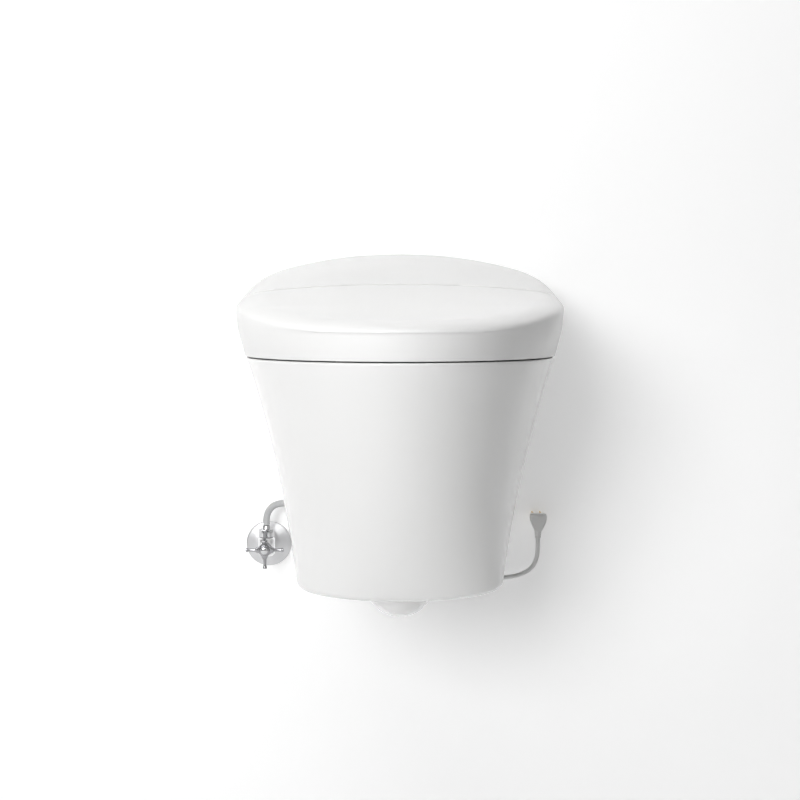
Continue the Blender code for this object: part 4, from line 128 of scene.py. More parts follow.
def finish(name, light, dark, roughness, metallic=0.0, grain=400.0, relief=0.0, spread=0.03,
           patch=9.0):
    """A material whose colour, roughness and relief follow two noises."""
    made = bpy.data.materials.new(name)
    made.use_nodes = True
    tree = made.node_tree
    shader = tree.nodes["Principled BSDF"].inputs
    shader["Metallic"].default_value = metallic
    place = add_node(tree, "TexCoord").outputs["Object"]
    cloud, fine = [add_node(tree, "TexNoise", {"Scale": scale, "Detail": detail, "Vector": place})
                   for scale, detail in ((patch, 4.0), (grain, 3.0))]
    colour = add_ramp(tree, cloud.outputs["Fac"], (0.35, dark), (0.65, light))
    tree.links.new(colour, shader["Base Color"])
    wear = add_node(tree, "MapRange", {"Value": fine.outputs["Fac"], "To Min": roughness - spread,
                                       "To Max": roughness + spread})
    tree.links.new(wear.outputs["Result"], shader["Roughness"])
    if relief > 0.0:
        bump = add_node(tree, "Bump", {"Strength": 0.6, "Distance": relief,
                                       "Height": fine.outputs["Fac"]})
        tree.links.new(bump.outputs["Normal"], shader["Normal"])
    return made


# %% [markdown]
# Glaze is glass fused on clay: very smooth, with a faint long wave where it ran. The
# moulded lid and seat are a little rougher, and their skin shows a fine grain only in
# the highlights. Coat on the shader gives the glaze its second, sharper reflection.

# %% White finishes
glaze = finish("glaze", (0.91, 0.91, 0.905), (0.90, 0.90, 0.893), 0.10, grain=26.0,
               relief=0.00012, spread=0.02, patch=5.0)
glaze.node_tree.nodes["Principled BSDF"].inputs["Coat Weight"].default_value = 0.4
glaze.node_tree.nodes["Principled BSDF"].inputs["Coat Roughness"].default_value = 0.03
moulded = finish("moulded_white", (0.92, 0.92, 0.915), (0.91, 0.91, 0.903), 0.26, grain=900.0,
                 relief=0.00002, patch=6.0)
seat_white = finish("seat_white", (0.90, 0.90, 0.893), (0.885, 0.885, 0.878), 0.30, grain=700.0,
                    relief=0.00003, patch=7.0)
matt_white = finish("matt_white", (0.87, 0.87, 0.86), (0.85, 0.85, 0.84), 0.42, grain=1100.0,
                    relief=0.00004)
cord_white = finish("cord_white", (0.86, 0.86, 0.855), (0.83, 0.83, 0.82), 0.50, grain=1500.0,
                    relief=0.00004, patch=30.0)
print("white finishes:", glaze.name, moulded.name, seat_white.name, matt_white.name)

# %% [markdown]
# The inner parts are working plastics, rubbers and metals. Zinc-plated steel and brass get
# a stronger patchiness, because they stain; polished chrome stays nearly even. The
# valve's escutcheon is satined. Its body's chrome is given a paler colour, painted light for
# the white wall it reflects, and its handle's chrome a darker one, painted shade for the dark
# room it reflects.

# %% Working finishes
grey_plastic = finish("grey_plastic", (0.47, 0.48, 0.49), (0.42, 0.43, 0.44), 0.50, grain=900.0,
                      relief=0.00006)
dark_plastic = finish("dark_plastic", (0.10, 0.10, 0.11), (0.07, 0.07, 0.075), 0.45, grain=900.0,
                      relief=0.00006)
black_rubber = finish("black_rubber", (0.13, 0.13, 0.13), (0.09, 0.09, 0.09), 0.78, grain=1300.0,
                      relief=0.00008)
pale_rubber = finish("pale_rubber", (0.74, 0.74, 0.73), (0.68, 0.68, 0.67), 0.72, grain=1300.0,
                     relief=0.00006)
foam = finish("foam", (0.66, 0.66, 0.67), (0.56, 0.56, 0.57), 0.90, grain=650.0, relief=0.0004)
zinc = finish("zinc_steel", (0.66, 0.67, 0.69), (0.54, 0.55, 0.57), 0.32, metallic=1.0, grain=500.0,
              relief=0.00003, spread=0.08, patch=45.0)
chrome = finish("chrome", (0.60, 0.60, 0.61), (0.56, 0.56, 0.57), 0.07, metallic=1.0, grain=300.0,
                spread=0.02, patch=30.0)
satin_chrome = finish("satin_chrome", (0.66, 0.66, 0.67), (0.60, 0.60, 0.61), 0.38, metallic=1.0,
                      grain=300.0, spread=0.04, patch=30.0)
# Painted light: the valve body's chrome gets a paler colour that stands in for the white wall it
# reflects.
painted_light_chrome = finish("painted_light_chrome", (0.86, 0.86, 0.87), (0.82, 0.82, 0.83), 0.16, metallic=1.0,
                     grain=300.0, spread=0.03, patch=30.0)
# Painted shade: the handle's chrome gets a darker colour that stands in for the dark room it
# reflects.
painted_shade_chrome = finish("painted_shade_chrome", (0.36, 0.36, 0.37), (0.30, 0.30, 0.31), 0.17, metallic=1.0,
                     grain=300.0, spread=0.03, patch=60.0)
brass = finish("brass", (0.76, 0.60, 0.33), (0.62, 0.46, 0.24), 0.30, metallic=1.0, grain=500.0,
               relief=0.00003, spread=0.08, patch=50.0)
smoked = finish("smoked", (0.035, 0.035, 0.04), (0.02, 0.02, 0.025), 0.10, grain=200.0)
print("working finishes ready")

# %% [markdown]
# A circuit board is a green lacquer over copper tracks. A brick pattern stretched along
# one axis reads as rows of parallel tracks.

# %% Circuit board
board_green = finish("board_green", (0.05, 0.29, 0.13), (0.04, 0.23, 0.10), 0.35, grain=800.0)
tree = board_green.node_tree
tracks = add_node(tree, "TexBrick", {
    "Vector": tree.nodes["Texture Coordinate"].outputs["Object"], "Scale": 90.0,
    "Mortar Size": 0.05, "Color1": (0.04, 0.26, 0.11, 1.0), "Color2": (0.05, 0.30, 0.13, 1.0),
    "Mortar": (0.10, 0.36, 0.16, 1.0)})
tree.links.new(tracks.outputs["Color"], tree.nodes["Principled BSDF"].inputs["Base Color"])
print("board material:", board_green.name)

# %% [markdown]
# The supply hose is wrapped in two sets of fine strands that cross. The pattern follows
# the hose, so it reads the tube's own UV map: two slanted waves, and the larger of the
# two is the strand that lies on top.

# %% Braid
BRAID_AROUND = 14
BRAID_ALONG = 620.0

braid = finish("braid", (0.74, 0.745, 0.75), (0.66, 0.665, 0.67), 0.45, grain=1200.0)
tree = braid.node_tree
shader = tree.nodes["Principled BSDF"].inputs
run = add_node(tree, "TexCoord")
split = add_node(tree, "SeparateXYZ", {"Vector": run.outputs["UV"]}).outputs
waves = []
for turn in (1, -1):
    around = add_node(tree, "Math", {0: split["X"], 1: turn * BRAID_AROUND * math.tau},
                      operation='MULTIPLY')
    along = add_node(tree, "Math", {0: split["Y"], 1: BRAID_ALONG * math.tau,
                                    2: around.outputs[0]}, operation='MULTIPLY_ADD')
    waves.append(add_node(tree, "Math", {0: along.outputs[0]}, operation='SINE').outputs[0])
top = add_node(tree, "Math", {0: waves[0], 1: waves[1]}, operation='MAXIMUM').outputs[0]
strands = add_ramp(tree, top, (0.30, (0.44, 0.445, 0.45)), (0.90, (0.60, 0.605, 0.61)))
tree.links.new(strands, shader["Base Color"])
weave = add_node(tree, "Bump", {"Strength": 0.5, "Distance": 0.0003, "Height": top})
tree.links.new(weave.outputs["Normal"], shader["Normal"])
print("braid strands around the hose:", 2 * BRAID_AROUND)

# %% [markdown]
# ## Helpers for new pieces
#
# Every new piece ends the same way: its mesh becomes an object at the origin, shaded
# smooth with sharp edges kept, with its finish, riding on the body that its node rides
# on, and standing for that node.

# %% From a bmesh to a riding piece
SHARP = 35.0    # an edge with a larger angle, in degrees, is seen as an edge


def mesh_data(name, mesh, smooth=True):
    """Turn a bmesh into mesh data."""
    if smooth:
        bmesh.ops.recalc_face_normals(mesh, faces=mesh.faces)
    data = bpy.data.meshes.new(name)
    mesh.to_mesh(data)
    mesh.free()
    if smooth:
        data.shade_smooth()
    return data


def seated(name, mesh, look, *nodes):
    """Turn a bmesh into a piece that stands for one or more nodes."""
    data = mesh_data(name, mesh)
    data.set_sharp_from_angle(angle=math.radians(SHARP))
    data.materials.append(look)
    made = placed(name, data)
    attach(made, frame["nodes"][nodes[0]]["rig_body"])
    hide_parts(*nodes)
    return made


# %% [markdown]
# Three ways of making a shape cover nearly all of them. `loft` starts from a circle of
# corners and extrudes it ring by ring, each ring moved to its own outline. `lathe` spins
# a profile about an axis. `slab` extrudes one flat outline.

# %% Loft, lathe and slab
def loft(rings, joined=False, capped=(True, True)):
    """Extrude a loop of corners through a list of outlines."""
    mesh = bmesh.new()
    number = mesh.verts.layers.int.new("number")
    circle = bmesh.ops.create_circle(mesh, segments=len(rings[0]), radius=1.0)["verts"]
    for index, corner in enumerate(circle):
        corner[number] = index
        corner.co = rings[0][index]
    start = list(mesh.edges)
    edges = start
    for ring in rings[1:]:
        made = bmesh.ops.extrude_edge_only(mesh, edges=edges)["geom"]
        for corner in [item for item in made if isinstance(item, bmesh.types.BMVert)]:
            corner.co = ring[corner[number]]
        edges = [item for item in made if isinstance(item, bmesh.types.BMEdge)]
        edges = [item for item in edges if not item.link_faces or len(item.link_faces) == 1]
    if joined:
        bmesh.ops.bridge_loops(mesh, edges=start + edges)
    else:
        for rim, wanted in ((start, capped[0]), (edges, capped[1])):
            if wanted:
                bmesh.ops.contextual_create(mesh, geom=rim)
    return mesh


def lathe(profile, base, direction, steps=64):
    """Spin radius and height pairs, which start and end on the axis."""
    along = Vector(direction).normalized()
    side = along.cross(Vector((0.3, 0.5, 0.8))).normalized()
    base = Vector(base)
    mesh = bmesh.new()
    line = [mesh.verts.new(base + side * radius + along * height) for radius, height in profile]
    edges = [mesh.edges.new(pair) for pair in zip(line, line[1:])]
    bmesh.ops.spin(mesh, geom=line + edges, cent=base, axis=along, angle=math.tau, steps=steps,
                   use_merge=True)
    bmesh.ops.remove_doubles(mesh, verts=mesh.verts, dist=0.000001)
    return mesh


def slab(outline, axis, low, high):
    """Extrude a flat outline along X, Y or Z."""
    spot = {'X': lambda a, b, c: (c, a, b), 'Y': lambda a, b, c: (a, c, b),
            'Z': lambda a, b, c: (a, b, c)}[axis]
    return loft([[spot(a, b, place) for a, b in outline] for place in (low, high)])


def arc(centre, radius, first, last, steps):
    """Points along an arc, angles in degrees."""
    turns = [math.radians(first + (last - first) * i / steps) for i in range(steps + 1)]
    return [(centre[0] + radius * math.cos(turn), centre[1] + radius * math.sin(turn))
            for turn in turns]


def quarter(steps):
    """The angles of a quarter turn at even steps."""
    return [math.radians(90 * step / steps) for step in range(steps + 1)]


def rounded(low, high, radius, steps=5):
    """A flat rectangle with round corners."""
    left, right, bottom, top = [side + radius * sign for side, sign in (
        (low[0], 1), (high[0], -1), (low[1], 1), (high[1], -1))]
    points = []
    for number, centre in enumerate(((right, top), (left, top), (left, bottom), (right, bottom))):
        points += arc(centre, radius, 90 * number, 90 * number + 90, steps)
    return points


print("helpers: loft, lathe, slab, arc, quarter, rounded")

# %% [markdown]
# ## The power cord
#
# About 1.1 m of round white flex, 7 mm thick. It leaves the plug's relief downward,
# swings behind the pan, lies in three turns in a clip on the pan's rear plate and rises
# to the gland under the housing. It is one curve with a round bevel, so its thickness
# is even everywhere. The points repeat the model's own route.

# %% Route helpers
def walked(line):
    """How far along a line each of its points lies."""
    lengths = [0.0]
    for before, after in zip(line, line[1:]):
        lengths.append(lengths[-1] + (after - before).length)
    return lengths


def even_steps(line, lengths, count):
    """The line's points read again at equal steps of its length."""
    points = []
    span = 0
    for index in range(count + 1):
        want = lengths[-1] * index / count
        while span < len(line) - 2 and lengths[span + 1] < want:
            span += 1
        share = (want - lengths[span]) / (lengths[span + 1] - lengths[span])
        points.append(line[span].lerp(line[span + 1], share))
    return points


def smooth_route(points, spacing):
    """A smooth curve through the route's points, read at even steps."""
    spots = [Vector(p) for p in points]
    spots = [2 * spots[0] - spots[1]] + spots + [2 * spots[-1] - spots[-2]]
    fine = []
    for before, first, second, after in zip(spots, spots[1:], spots[2:], spots[3:]):
        for step in range(12):
            t = step / 12
            fine.append(0.5 * (2 * first + (second - before) * t
                               + (2 * before - 5 * first + 4 * second - after) * t ** 2
                               + (3 * first - before - 3 * second + after) * t ** 3))
    fine.append(spots[-2])
    lengths = walked(fine)
    return even_steps(fine, lengths, max(2, round(lengths[-1] / spacing))), lengths[-1]


def smooth_outline(points, spacing):
    """The same for a flat line of number pairs."""
    return [(p.x, p.y) for p in smooth_route([(*spot, 0.0) for spot in points], spacing)[0]]


# %% Power cord
CORD_DIAMETER = 0.007
CORD_ROUTE = (
    (0.2174, -0.0310, -0.2127), (0.2174, -0.0310, -0.2218), (0.2172, -0.0310, -0.2320),
    (0.2160, -0.0310, -0.2425), (0.2125, -0.0310, -0.2530), (0.2055, -0.0310, -0.2620),
    (0.1955, -0.0310, -0.2685), (0.1825, -0.0310, -0.2730), (0.1680, -0.0310, -0.2752),
    (0.1530, -0.0310, -0.2752), (0.1390, -0.0310, -0.2722), (0.1265, -0.0310, -0.2650),
    (0.1175, -0.0310, -0.2535), (0.1125, -0.0308, -0.2390), (0.1106, -0.0304, -0.2230),
    (0.1106, -0.0296, -0.2060), (0.1128, -0.0284, -0.1880), (0.1172, -0.0266, -0.1690),
    (0.1226, -0.0246, -0.1500), (0.1274, -0.0226, -0.1310), (0.1305, -0.0211, -0.1130),
    (0.1315, -0.0206, -0.1010), (0.1315, -0.0206, -0.0923))
TAIL_ROUTE = (
    (0.1315, -0.0434, -0.0777), (0.1315, -0.0434, -0.0690), (0.1320, -0.0436, -0.0560),
    (0.1326, -0.0441, -0.0410), (0.1326, -0.0447, -0.0260), (0.1314, -0.0453, -0.0110),
    (0.1286, -0.0461, 0.0010), (0.1260, -0.0465, 0.0100), (0.1250, -0.0465, 0.0180),
    (0.1250, -0.0465, 0.0297))
COIL_CENTRE = (0.094, -0.0206, -0.085)
COIL_RADIUS = 0.0375
COIL_PITCH = 0.0076
COIL_TURNS = 3
TURN_POINTS = 48

lead, _ = smooth_route(CORD_ROUTE, 0.004)
tail, _ = smooth_route(TAIL_ROUTE, 0.004)
coil = [Vector(COIL_CENTRE) + Vector((COIL_RADIUS * math.cos(math.tau * i / TURN_POINTS),
                                      -COIL_PITCH * i / TURN_POINTS,
                                      COIL_RADIUS * math.sin(math.tau * i / TURN_POINTS)))
        for i in range(TURN_POINTS * COIL_TURNS + 1)]
cord_line = lead + coil + tail

cord_curve = bpy.data.curves.new("power_cord_run", 'CURVE')
cord_curve.dimensions = '3D'
cord_curve.bevel_depth = CORD_DIAMETER / 2
cord_curve.bevel_resolution = 6
cord_curve.use_fill_caps = True
spline = cord_curve.splines.new('POLY')
spline.points.add(len(cord_line) - 1)
for point, place in zip(spline.points, cord_line):
    point.co = (*place, 1.0)
spline.use_smooth = True
cord_curve.materials.append(cord_white)
power_cord = placed("power_cord_run", cord_curve)
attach(power_cord, "frame")
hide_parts("power_cord", "power_cord_coil", "power_cord_tail")

# %% [markdown]
# ## The supply hose
#
# A braided hose of 10.5 mm leaves the valve's nut upward, bends over and runs behind
# the pan to the inlet under the housing. It is a mesh tube, not a curve, because the
# braid needs a UV map that runs round and along it: a circle is extruded along the
# route, and each ring's place and number give the map.

# %% Supply hose
HOSE_DIAMETER = 0.0105
HOSE_ROUTE = (
    (-0.2105, -0.0300, -0.1914), (-0.2105, -0.0300, -0.1845), (-0.2092, -0.0300, -0.1760),
    (-0.2053, -0.0300, -0.1676), (-0.1985, -0.0300, -0.1612), (-0.1900, -0.0300, -0.1582),
    (-0.1795, -0.0298, -0.1573), (-0.1660, -0.0294, -0.1572), (-0.1520, -0.0288, -0.1566),
    (-0.1395, -0.0284, -0.1535), (-0.1285, -0.0284, -0.1460), (-0.1205, -0.0290, -0.1345),
    (-0.1165, -0.0302, -0.1200), (-0.1158, -0.0318, -0.1040), (-0.1165, -0.0338, -0.0860),
    (-0.1185, -0.0362, -0.0660), (-0.1212, -0.0388, -0.0460), (-0.1238, -0.0414, -0.0260),
    (-0.1250, -0.0438, -0.0060), (-0.1252, -0.0455, 0.0120), (-0.1250, -0.0463, 0.0250),
    (-0.1250, -0.0465, 0.0342))


def mapped_tube(route, radius, sides=40):
    """Sweep a circle along a route and give it a UV map in turns and metres."""
    rings = []
    side = Vector((0.0, 1.0, 0.0))
    for index, here in enumerate(route):
        along = (route[min(index + 1, len(route) - 1)] - route[max(index - 1, 0)]).normalized()
        side = (side - along * side.dot(along)).normalized()
        other = along.cross(side)
        rings.append([here + (side * math.cos(math.tau * i / sides)
                              + other * math.sin(math.tau * i / sides)) * radius
                      for i in range(sides)])
    mesh = loft(rings)
    number = mesh.verts.layers.int["number"]
    walk = walked(route)
    mesh.verts.ensure_lookup_table()
    level = {corner: index // sides for index, corner in enumerate(mesh.verts)}
    chart = mesh.loops.layers.uv.new("run")
    for face in mesh.faces:
        turns = [loop.vert[number] / sides for loop in face.loops]
        wraps = max(turns) - min(turns) > 0.5
        for loop, turn in zip(face.loops, turns):
            turn += 1.0 if wraps and turn < 0.5 else 0.0
            loop[chart].uv = (turn, walk[level[loop.vert]])
    return mesh


hose_line, hose_length = smooth_route(HOSE_ROUTE, 0.003)
supply_hose = seated("braided_hose", mapped_tube(hose_line, HOSE_DIAMETER / 2), braid,
                     "supply_hose")
print("hose length", round(hose_length, 4), "with", len(hose_line), "rings")

# %% [markdown]
# ## Small and inner pieces
#
# Most working pieces have the right shape already, but their edges are knife sharp. A
# real moulding or casting has a small radius on every edge, and that is what catches
# the light. Each one is copied, its loose triangles are merged and its flat faces
# joined, and its sharp edges get a bevel.

# %% Rounded copies of nodes
def flat_joined(mesh):
    """Join the faces that lie in one plane."""
    bmesh.ops.dissolve_limit(mesh, angle_limit=math.radians(0.5), verts=mesh.verts,
                             edges=mesh.edges)
    return mesh


def merged(node):
    """A copy of a node's mesh with its triangles joined into flat faces."""
    mesh = bmesh.new()
    mesh.from_mesh(frame["nodes"][node].data)
    bmesh.ops.remove_doubles(mesh, verts=mesh.verts, dist=0.00001)
    return flat_joined(mesh)


def eased_edges(mesh, width, sharp=SHARP, segments=2):
    """Give the edges that are sharper than an angle a small radius."""
    bmesh.ops.recalc_face_normals(mesh, faces=mesh.faces)
    crisp = [edge for edge in mesh.edges if len(edge.link_faces) == 2
             and edge.calc_face_angle() > math.radians(sharp)]
    bmesh.ops.bevel(mesh, geom=crisp, offset=width, offset_type='OFFSET', segments=segments,
                    profile=0.5, affect='EDGES', clamp_overlap=True, material=-1)
    return mesh


PIN_PLATE_FACE = -0.0235
EASED = (
    (matt_white, 0.0005, ("bay_fascia", "nozzle_wand", "nozzle_tip", "deodoriser_cartridge",
                          "inlet_valve", "dryer_flap", "flush_button", "power_button",
                          "seat_base")),
    (grey_plastic, 0.0005, ("base_chassis", "nozzle_guide", "dryer_duct", "dryer_impeller",
                            "cord_clip")),
    (dark_plastic, 0.0006, ("seat_drive_unit", "lid_drive_unit", "nozzle_motor", "dryer_fan_casing",
                            "water_heater", "wash_pump", "board_case")),
    (foam, 0.0004, ("wall_mat",)),
    (black_rubber, 0.0004, ("inlet_seal", "outlet_seal", "cord_gland")),
    (pale_rubber, 0.0005, ("seat_bumper_left", "seat_bumper_right", "lid_bumper_left",
                           "lid_bumper_right")),
    (zinc, 0.0004, ("fixing_stud_left", "fixing_stud_right", "fixing_nut_left", "fixing_nut_right",
                    "mounting_bracket", "seat_drive_shaft", "lid_drive_shaft", "dryer_fan_motor")),
    (brass, 0.0003, ("nozzle_pinion", "inlet_connector", "plug_pins")),
    (board_green, 0.0002, ("control_board",)),
    (smoked, 0.0003, ("sensor_window",)),
    (moulded, 0.0005, ("hinge_barrel",)),
)
for look, width, names in EASED:
    for name in names:
        seated(name + "_eased", eased_edges(merged(name), width, 30.0), look, name)
pins = bpy.data.objects["plug_pins_eased"].data
pins.materials.append(cord_white)
for face in pins.polygons:
    if face.center.y < PIN_PLATE_FACE:
        face.material_index = 1
print("eased pieces:", sum(len(names) for _, _, names in EASED))

# %% [markdown]
# ## Shapes cut from shapes
#
# The lid, the housing and the pan are made as a moulder's tool is made: a solid of the
# outer form, a second one of the inner space, and the cuts between them. The Booleans
# run on helper objects, the result is read back, and the edges that the cuts left get
# their small radius like every other edge.

# %% Carving helpers
OVERCUT = 0.004    # how far a cutting shape runs past what it cuts
FIT = 0.0003       # room round a bar in its bore


def carved(mesh, steps):
    """Run Booleans on a shape and read the result back."""
    block, *tools = [placed("shape", mesh_data("shape", shape))
                     for shape in [mesh] + [step[0] for step in steps]]
    for other, (_, operation, *solver) in zip(tools, steps):
        step = block.modifiers.new(operation, 'BOOLEAN')
        step.operation = operation
        step.solver = solver[0] if solver else 'EXACT'
        step.object = other
    result = bmesh.new()
    result.from_object(block, bpy.context.evaluated_depsgraph_get())
    for shape in [block] + tools:
        bpy.data.objects.remove(shape)
    bmesh.ops.remove_doubles(result, verts=result.verts, dist=0.00005)
    bmesh.ops.dissolve_degenerate(result, edges=result.edges, dist=0.00005)
    return result


def rod(radius, start, end):
    """A round bar between two points."""
    start = Vector(start)
    along = Vector(end) - start
    return lathe(((0.0, 0.0), (radius, 0.0), (radius, along.length), (0.0, along.length)),
                 start, along, 48)


# %% [markdown]
# ### The form that the lid and the housing share
#
# Seen from above, the toilet is a horseshoe: straight sides and half an ellipse at the
# front. The body rises from the skirt's lower edge outward to a soft crease, rolls over
# the shoulder and is crowned on top. Each row of the form is that horseshoe moved
# inward by a depth. The crease is rounded by a short curve through three points, the
# wall above it is upright, and the shoulder is a quarter of an ellipse, 30 mm wide.

# %% Sizes of the shared form
SEAM_HEIGHT = 0.0815
PAN_TOP_HALF = 0.2042
PAN_FRONT = 0.6021
FLARE = 0.0108
WIDEST_HALF = PAN_TOP_HALF + FLARE
CREASE_SET = 0.002
CREASE_FRONT = 0.1096
CREASE_SIDE = 0.1155
CREASE_SIDE_PLACE = 0.310
CREASE_ROUND = 0.0035
CREASE_RISE = 0.0007
ROLL = 0.030
ROLL_DROP = 0.0147
TOP_BACK = 0.2339
TOP_PARTING = 0.1745
TOP_FRONT = 0.124
TOP_FRONT_PLACE = 0.570
PARTING = 0.250
CROWN_BACK = 0.0338
CROWN_PARTING = 0.0147
CROWN_POWER = 2.15
HOUSING_FULLNESS = 0.0066
CAP_DEPTH = 0.3827
CAP_CENTRE = CAP_DEPTH - PAN_FRONT
RIDGE_SHARE = 0.6
LID_WALL = 0.004
COVER_WALL = 0.003
COVER_BACK = 0.0015
HINGE = Vector((0.0, -0.281, 0.139))
HINGE_SIDE = (HINGE.y, HINGE.z)
SWING_GAP = 0.0013
ROLL_STEPS = 15
INNER_FLOOR = 0.076
PART_RADIUS = math.hypot(-HINGE.y - PARTING, TOP_PARTING - HINGE.z)
PART_ANGLE = math.degrees(math.atan2(TOP_PARTING - HINGE.z, -HINGE.y - PARTING))


def horseshoe(half, front, cap, back, cap_steps=96, side_steps=12):
    """A U-shaped plan from the back left, round the front, to the back right."""
    centre = front + cap
    sides = [back + (centre - back) * i / side_steps for i in range(side_steps)]
    points = [(-half, y) for y in sides]
    for step in range(cap_steps + 1):
        angle = math.pi * step / cap_steps
        points.append((-half * math.cos(angle), centre - cap * math.sin(angle)))
    return points + [(half, y) for y in reversed(sides)]


def top_height(x, y):
    """Height of the crowned top over a plan point."""
    spots = ((0.0, TOP_BACK), (-PARTING, TOP_PARTING), (-TOP_FRONT_PLACE, TOP_FRONT))
    height = 0.0
    for here, level in spots:
        weight = 1.0
        for other, _ in spots:
            if other != here:
                weight *= (y - other) / (here - other)
        height += weight * level
    share = min(max(-y / PARTING, 0.0), 1.0)
    height += 4 * HOUSING_FULLNESS * share * (1 - share)
    crown = CROWN_PARTING + (CROWN_BACK - CROWN_PARTING) * (y + PARTING) / PARTING
    return height - max(crown, 0.0) * (abs(x) / WIDEST_HALF) ** CROWN_POWER


def crease_height(y):
    """Height of the crease where the skirt turns into the shoulder."""
    front = CAP_CENTRE - (CAP_DEPTH + FLARE)
    slope = (CREASE_SIDE - CREASE_FRONT) / (-CREASE_SIDE_PLACE - front)
    return CREASE_FRONT + slope * (y - front)


# %% The shared form as a solid
def top_form(inset, floor, back):
    """The body of lid and housing together, moved inward by an inset."""
    def plan(depth):
        reach = CAP_DEPTH + FLARE - depth - inset
        return horseshoe(WIDEST_HALF - depth - inset, CAP_CENTRE - reach, reach, back)

    shoulder = plan(ROLL)
    bottom = [Vector((x, y, floor)) for x, y in plan(FLARE)]
    crease = [Vector((x, y, crease_height(y))) for x, y in plan(CREASE_SET)]
    sides = []
    for angle in quarter(ROLL_STEPS):
        side = []
        for (x, y), (end_x, end_y) in zip(plan(ROLL * (1 - math.cos(angle))), shoulder):
            start = max(crease_height(y) + CREASE_RISE,
                        top_height(end_x, end_y) - inset - ROLL_DROP)
            lift = top_height(x, y) - inset - start
            side.append(Vector((x, y, start + lift * math.sin(angle))))
        sides.append(side)
    rows = [bottom]
    below = [c.lerp(b, CREASE_ROUND / (c - b).length) for b, c in zip(bottom, crease)]
    above = [c.lerp(s, min(CREASE_ROUND / (s - c).length, 0.8))
             for c, s in zip(crease, sides[0])]
    for step in range(7):
        t = step / 6
        rows.append([a.lerp(c, t).lerp(c.lerp(b, t), t) for a, c, b in zip(below, crease, above)])
    rows += sides
    for step in range(1, 13):
        share = step / 12
        rows.append([])
        for x, y in shoulder:
            near_x = x * (1 - share)
            ridge = CAP_CENTRE + (y - CAP_CENTRE) * RIDGE_SHARE
            near_y = y + (max(y, ridge) - y) * share
            rows[-1].append(Vector((near_x, near_y, top_height(near_x, near_y) - inset)))
    mesh = loft(rows, capped=(True, False))
    bmesh.ops.remove_doubles(mesh, verts=mesh.verts, dist=0.00001)
    return mesh


def inner_form(wall):
    """The space under the lid or the housing, a wall's thickness inside the form."""
    return top_form(wall, INNER_FLOOR, OVERCUT)


print("rows round the shoulder:", ROLL_STEPS + 1)

# %% [markdown]
# ### The lid
#
# The lid takes the front part of the form. Its rear edge is cut along a cylinder about
# the hinge, so that it clears the housing when it swings, and it is 4 mm thick.

# %% Lid
WIDE_OF = 0.04
FAR = -0.64
LOW = 0.072
HIGH = 0.275


def side_cut(outline):
    """A side-view outline extruded past the full width."""
    return slab(outline, 'X', -WIDEST_HALF - WIDE_OF, WIDEST_HALF + WIDE_OF)


LID_RADIUS = PART_RADIUS - SWING_GAP / 2
region = [(FAR, LOW), (HINGE.y, LOW), (HINGE.y, HINGE.z - LID_RADIUS)]
region += arc(HINGE_SIDE, LID_RADIUS, -80, 80, 48)
region += [(HINGE.y, HINGE.z + LID_RADIUS), (HINGE.y, HIGH), (FAR, HIGH)]
tip = PART_ANGLE - 20
clear = LID_RADIUS + OVERCUT
inside = [(FAR, LOW), (HINGE.y + clear, LOW)]
inside += arc(HINGE_SIDE, clear, 0, tip, 8)
inside += arc(HINGE_SIDE, LID_RADIUS - LID_WALL, tip, 90, 24)
inside += [(HINGE.y, HIGH), (FAR, HIGH)]
hollow = carved(inner_form(LID_WALL), [(side_cut(inside), 'INTERSECT')])
lid_mesh = carved(top_form(0.0, SEAM_HEIGHT, -COVER_BACK),
                  [(side_cut(region), 'INTERSECT'), (hollow, 'DIFFERENCE')])
lid = seated("lid_moulding", eased_edges(lid_mesh, 0.0006), moulded, "lid_shell")
print("lid faces:", len(lid.data.polygons))

# %% [markdown]
# Two arms under the lid carry it on its shaft. Their upper sides follow the lid's inner
# form, so each arm is cut by that form, a little smaller.

# %% Hinge arms
for side in ("left", "right"):
    arm = carved(merged("lid_hinge_arm_" + side), [(inner_form(LID_WALL + FIT), 'INTERSECT')])
    seated("hinge_arm_" + side, eased_edges(arm, 0.0005), grey_plastic, "lid_hinge_arm_" + side)
print("hinge arms trimmed to the lid")

# %% [markdown]
# ### The rear housing
#
# The housing takes the rest of the form, with a cove 1.3 mm wider than the lid's edge.
# It is a 3 mm shell, open at the back where it meets the wall, below where it sits on
# the pan, and in front where the hinge barrel lies.

# %% Housing
COVE_RADIUS = PART_RADIUS + SWING_GAP / 2
BARREL_HALF = 0.140
BUTTON_PLACES = (-0.107, -0.133)
BUTTON_HEIGHT = 0.1425
BUTTON_HOLE = 0.0074
BARREL_ROOM = 0.00075
SLOT_BACK = 0.62    # shares of the cove's radius, behind and below the hinge axis
SLOT_TOP = 0.90
REAR_END = 0.008    # behind the wall's plane, so that the back is cut open
edge = HINGE.y + SWING_GAP / 2
start = -math.degrees(math.acos(SWING_GAP / 2 / COVE_RADIUS))
region = [(edge, LOW)]
region += arc(HINGE_SIDE, COVE_RADIUS, start, 88, 56)
region += [(HINGE.y + 0.001, HIGH), (REAR_END, HIGH), (REAR_END, LOW)]
behind = COVE_RADIUS + COVER_WALL
wall_place = SWING_GAP / 2 + COVER_WALL
inside = [(HINGE.y + wall_place, LOW)]
inside += arc(HINGE_SIDE, behind, -math.degrees(math.acos(wall_place / behind)), 84, 40)
inside += [(HINGE.y + OVERCUT, HIGH), (REAR_END, HIGH), (REAR_END, LOW)]
hollow = carved(inner_form(COVER_WALL), [(side_cut(inside), 'INTERSECT')])
front_half = BARREL_HALF + BARREL_ROOM
slot_front = HINGE.y - OVERCUT
slot_back = HINGE.y + COVE_RADIUS * SLOT_BACK
front = slab(((-front_half, slot_front), (front_half, slot_front), (front_half, slot_back),
              (-front_half, slot_back)), 'Z', LOW, HINGE.z - COVE_RADIUS * SLOT_TOP)
steps = [(side_cut(region), 'INTERSECT'), (hollow, 'DIFFERENCE', 'MANIFOLD'),
         (front, 'DIFFERENCE', 'MANIFOLD')]
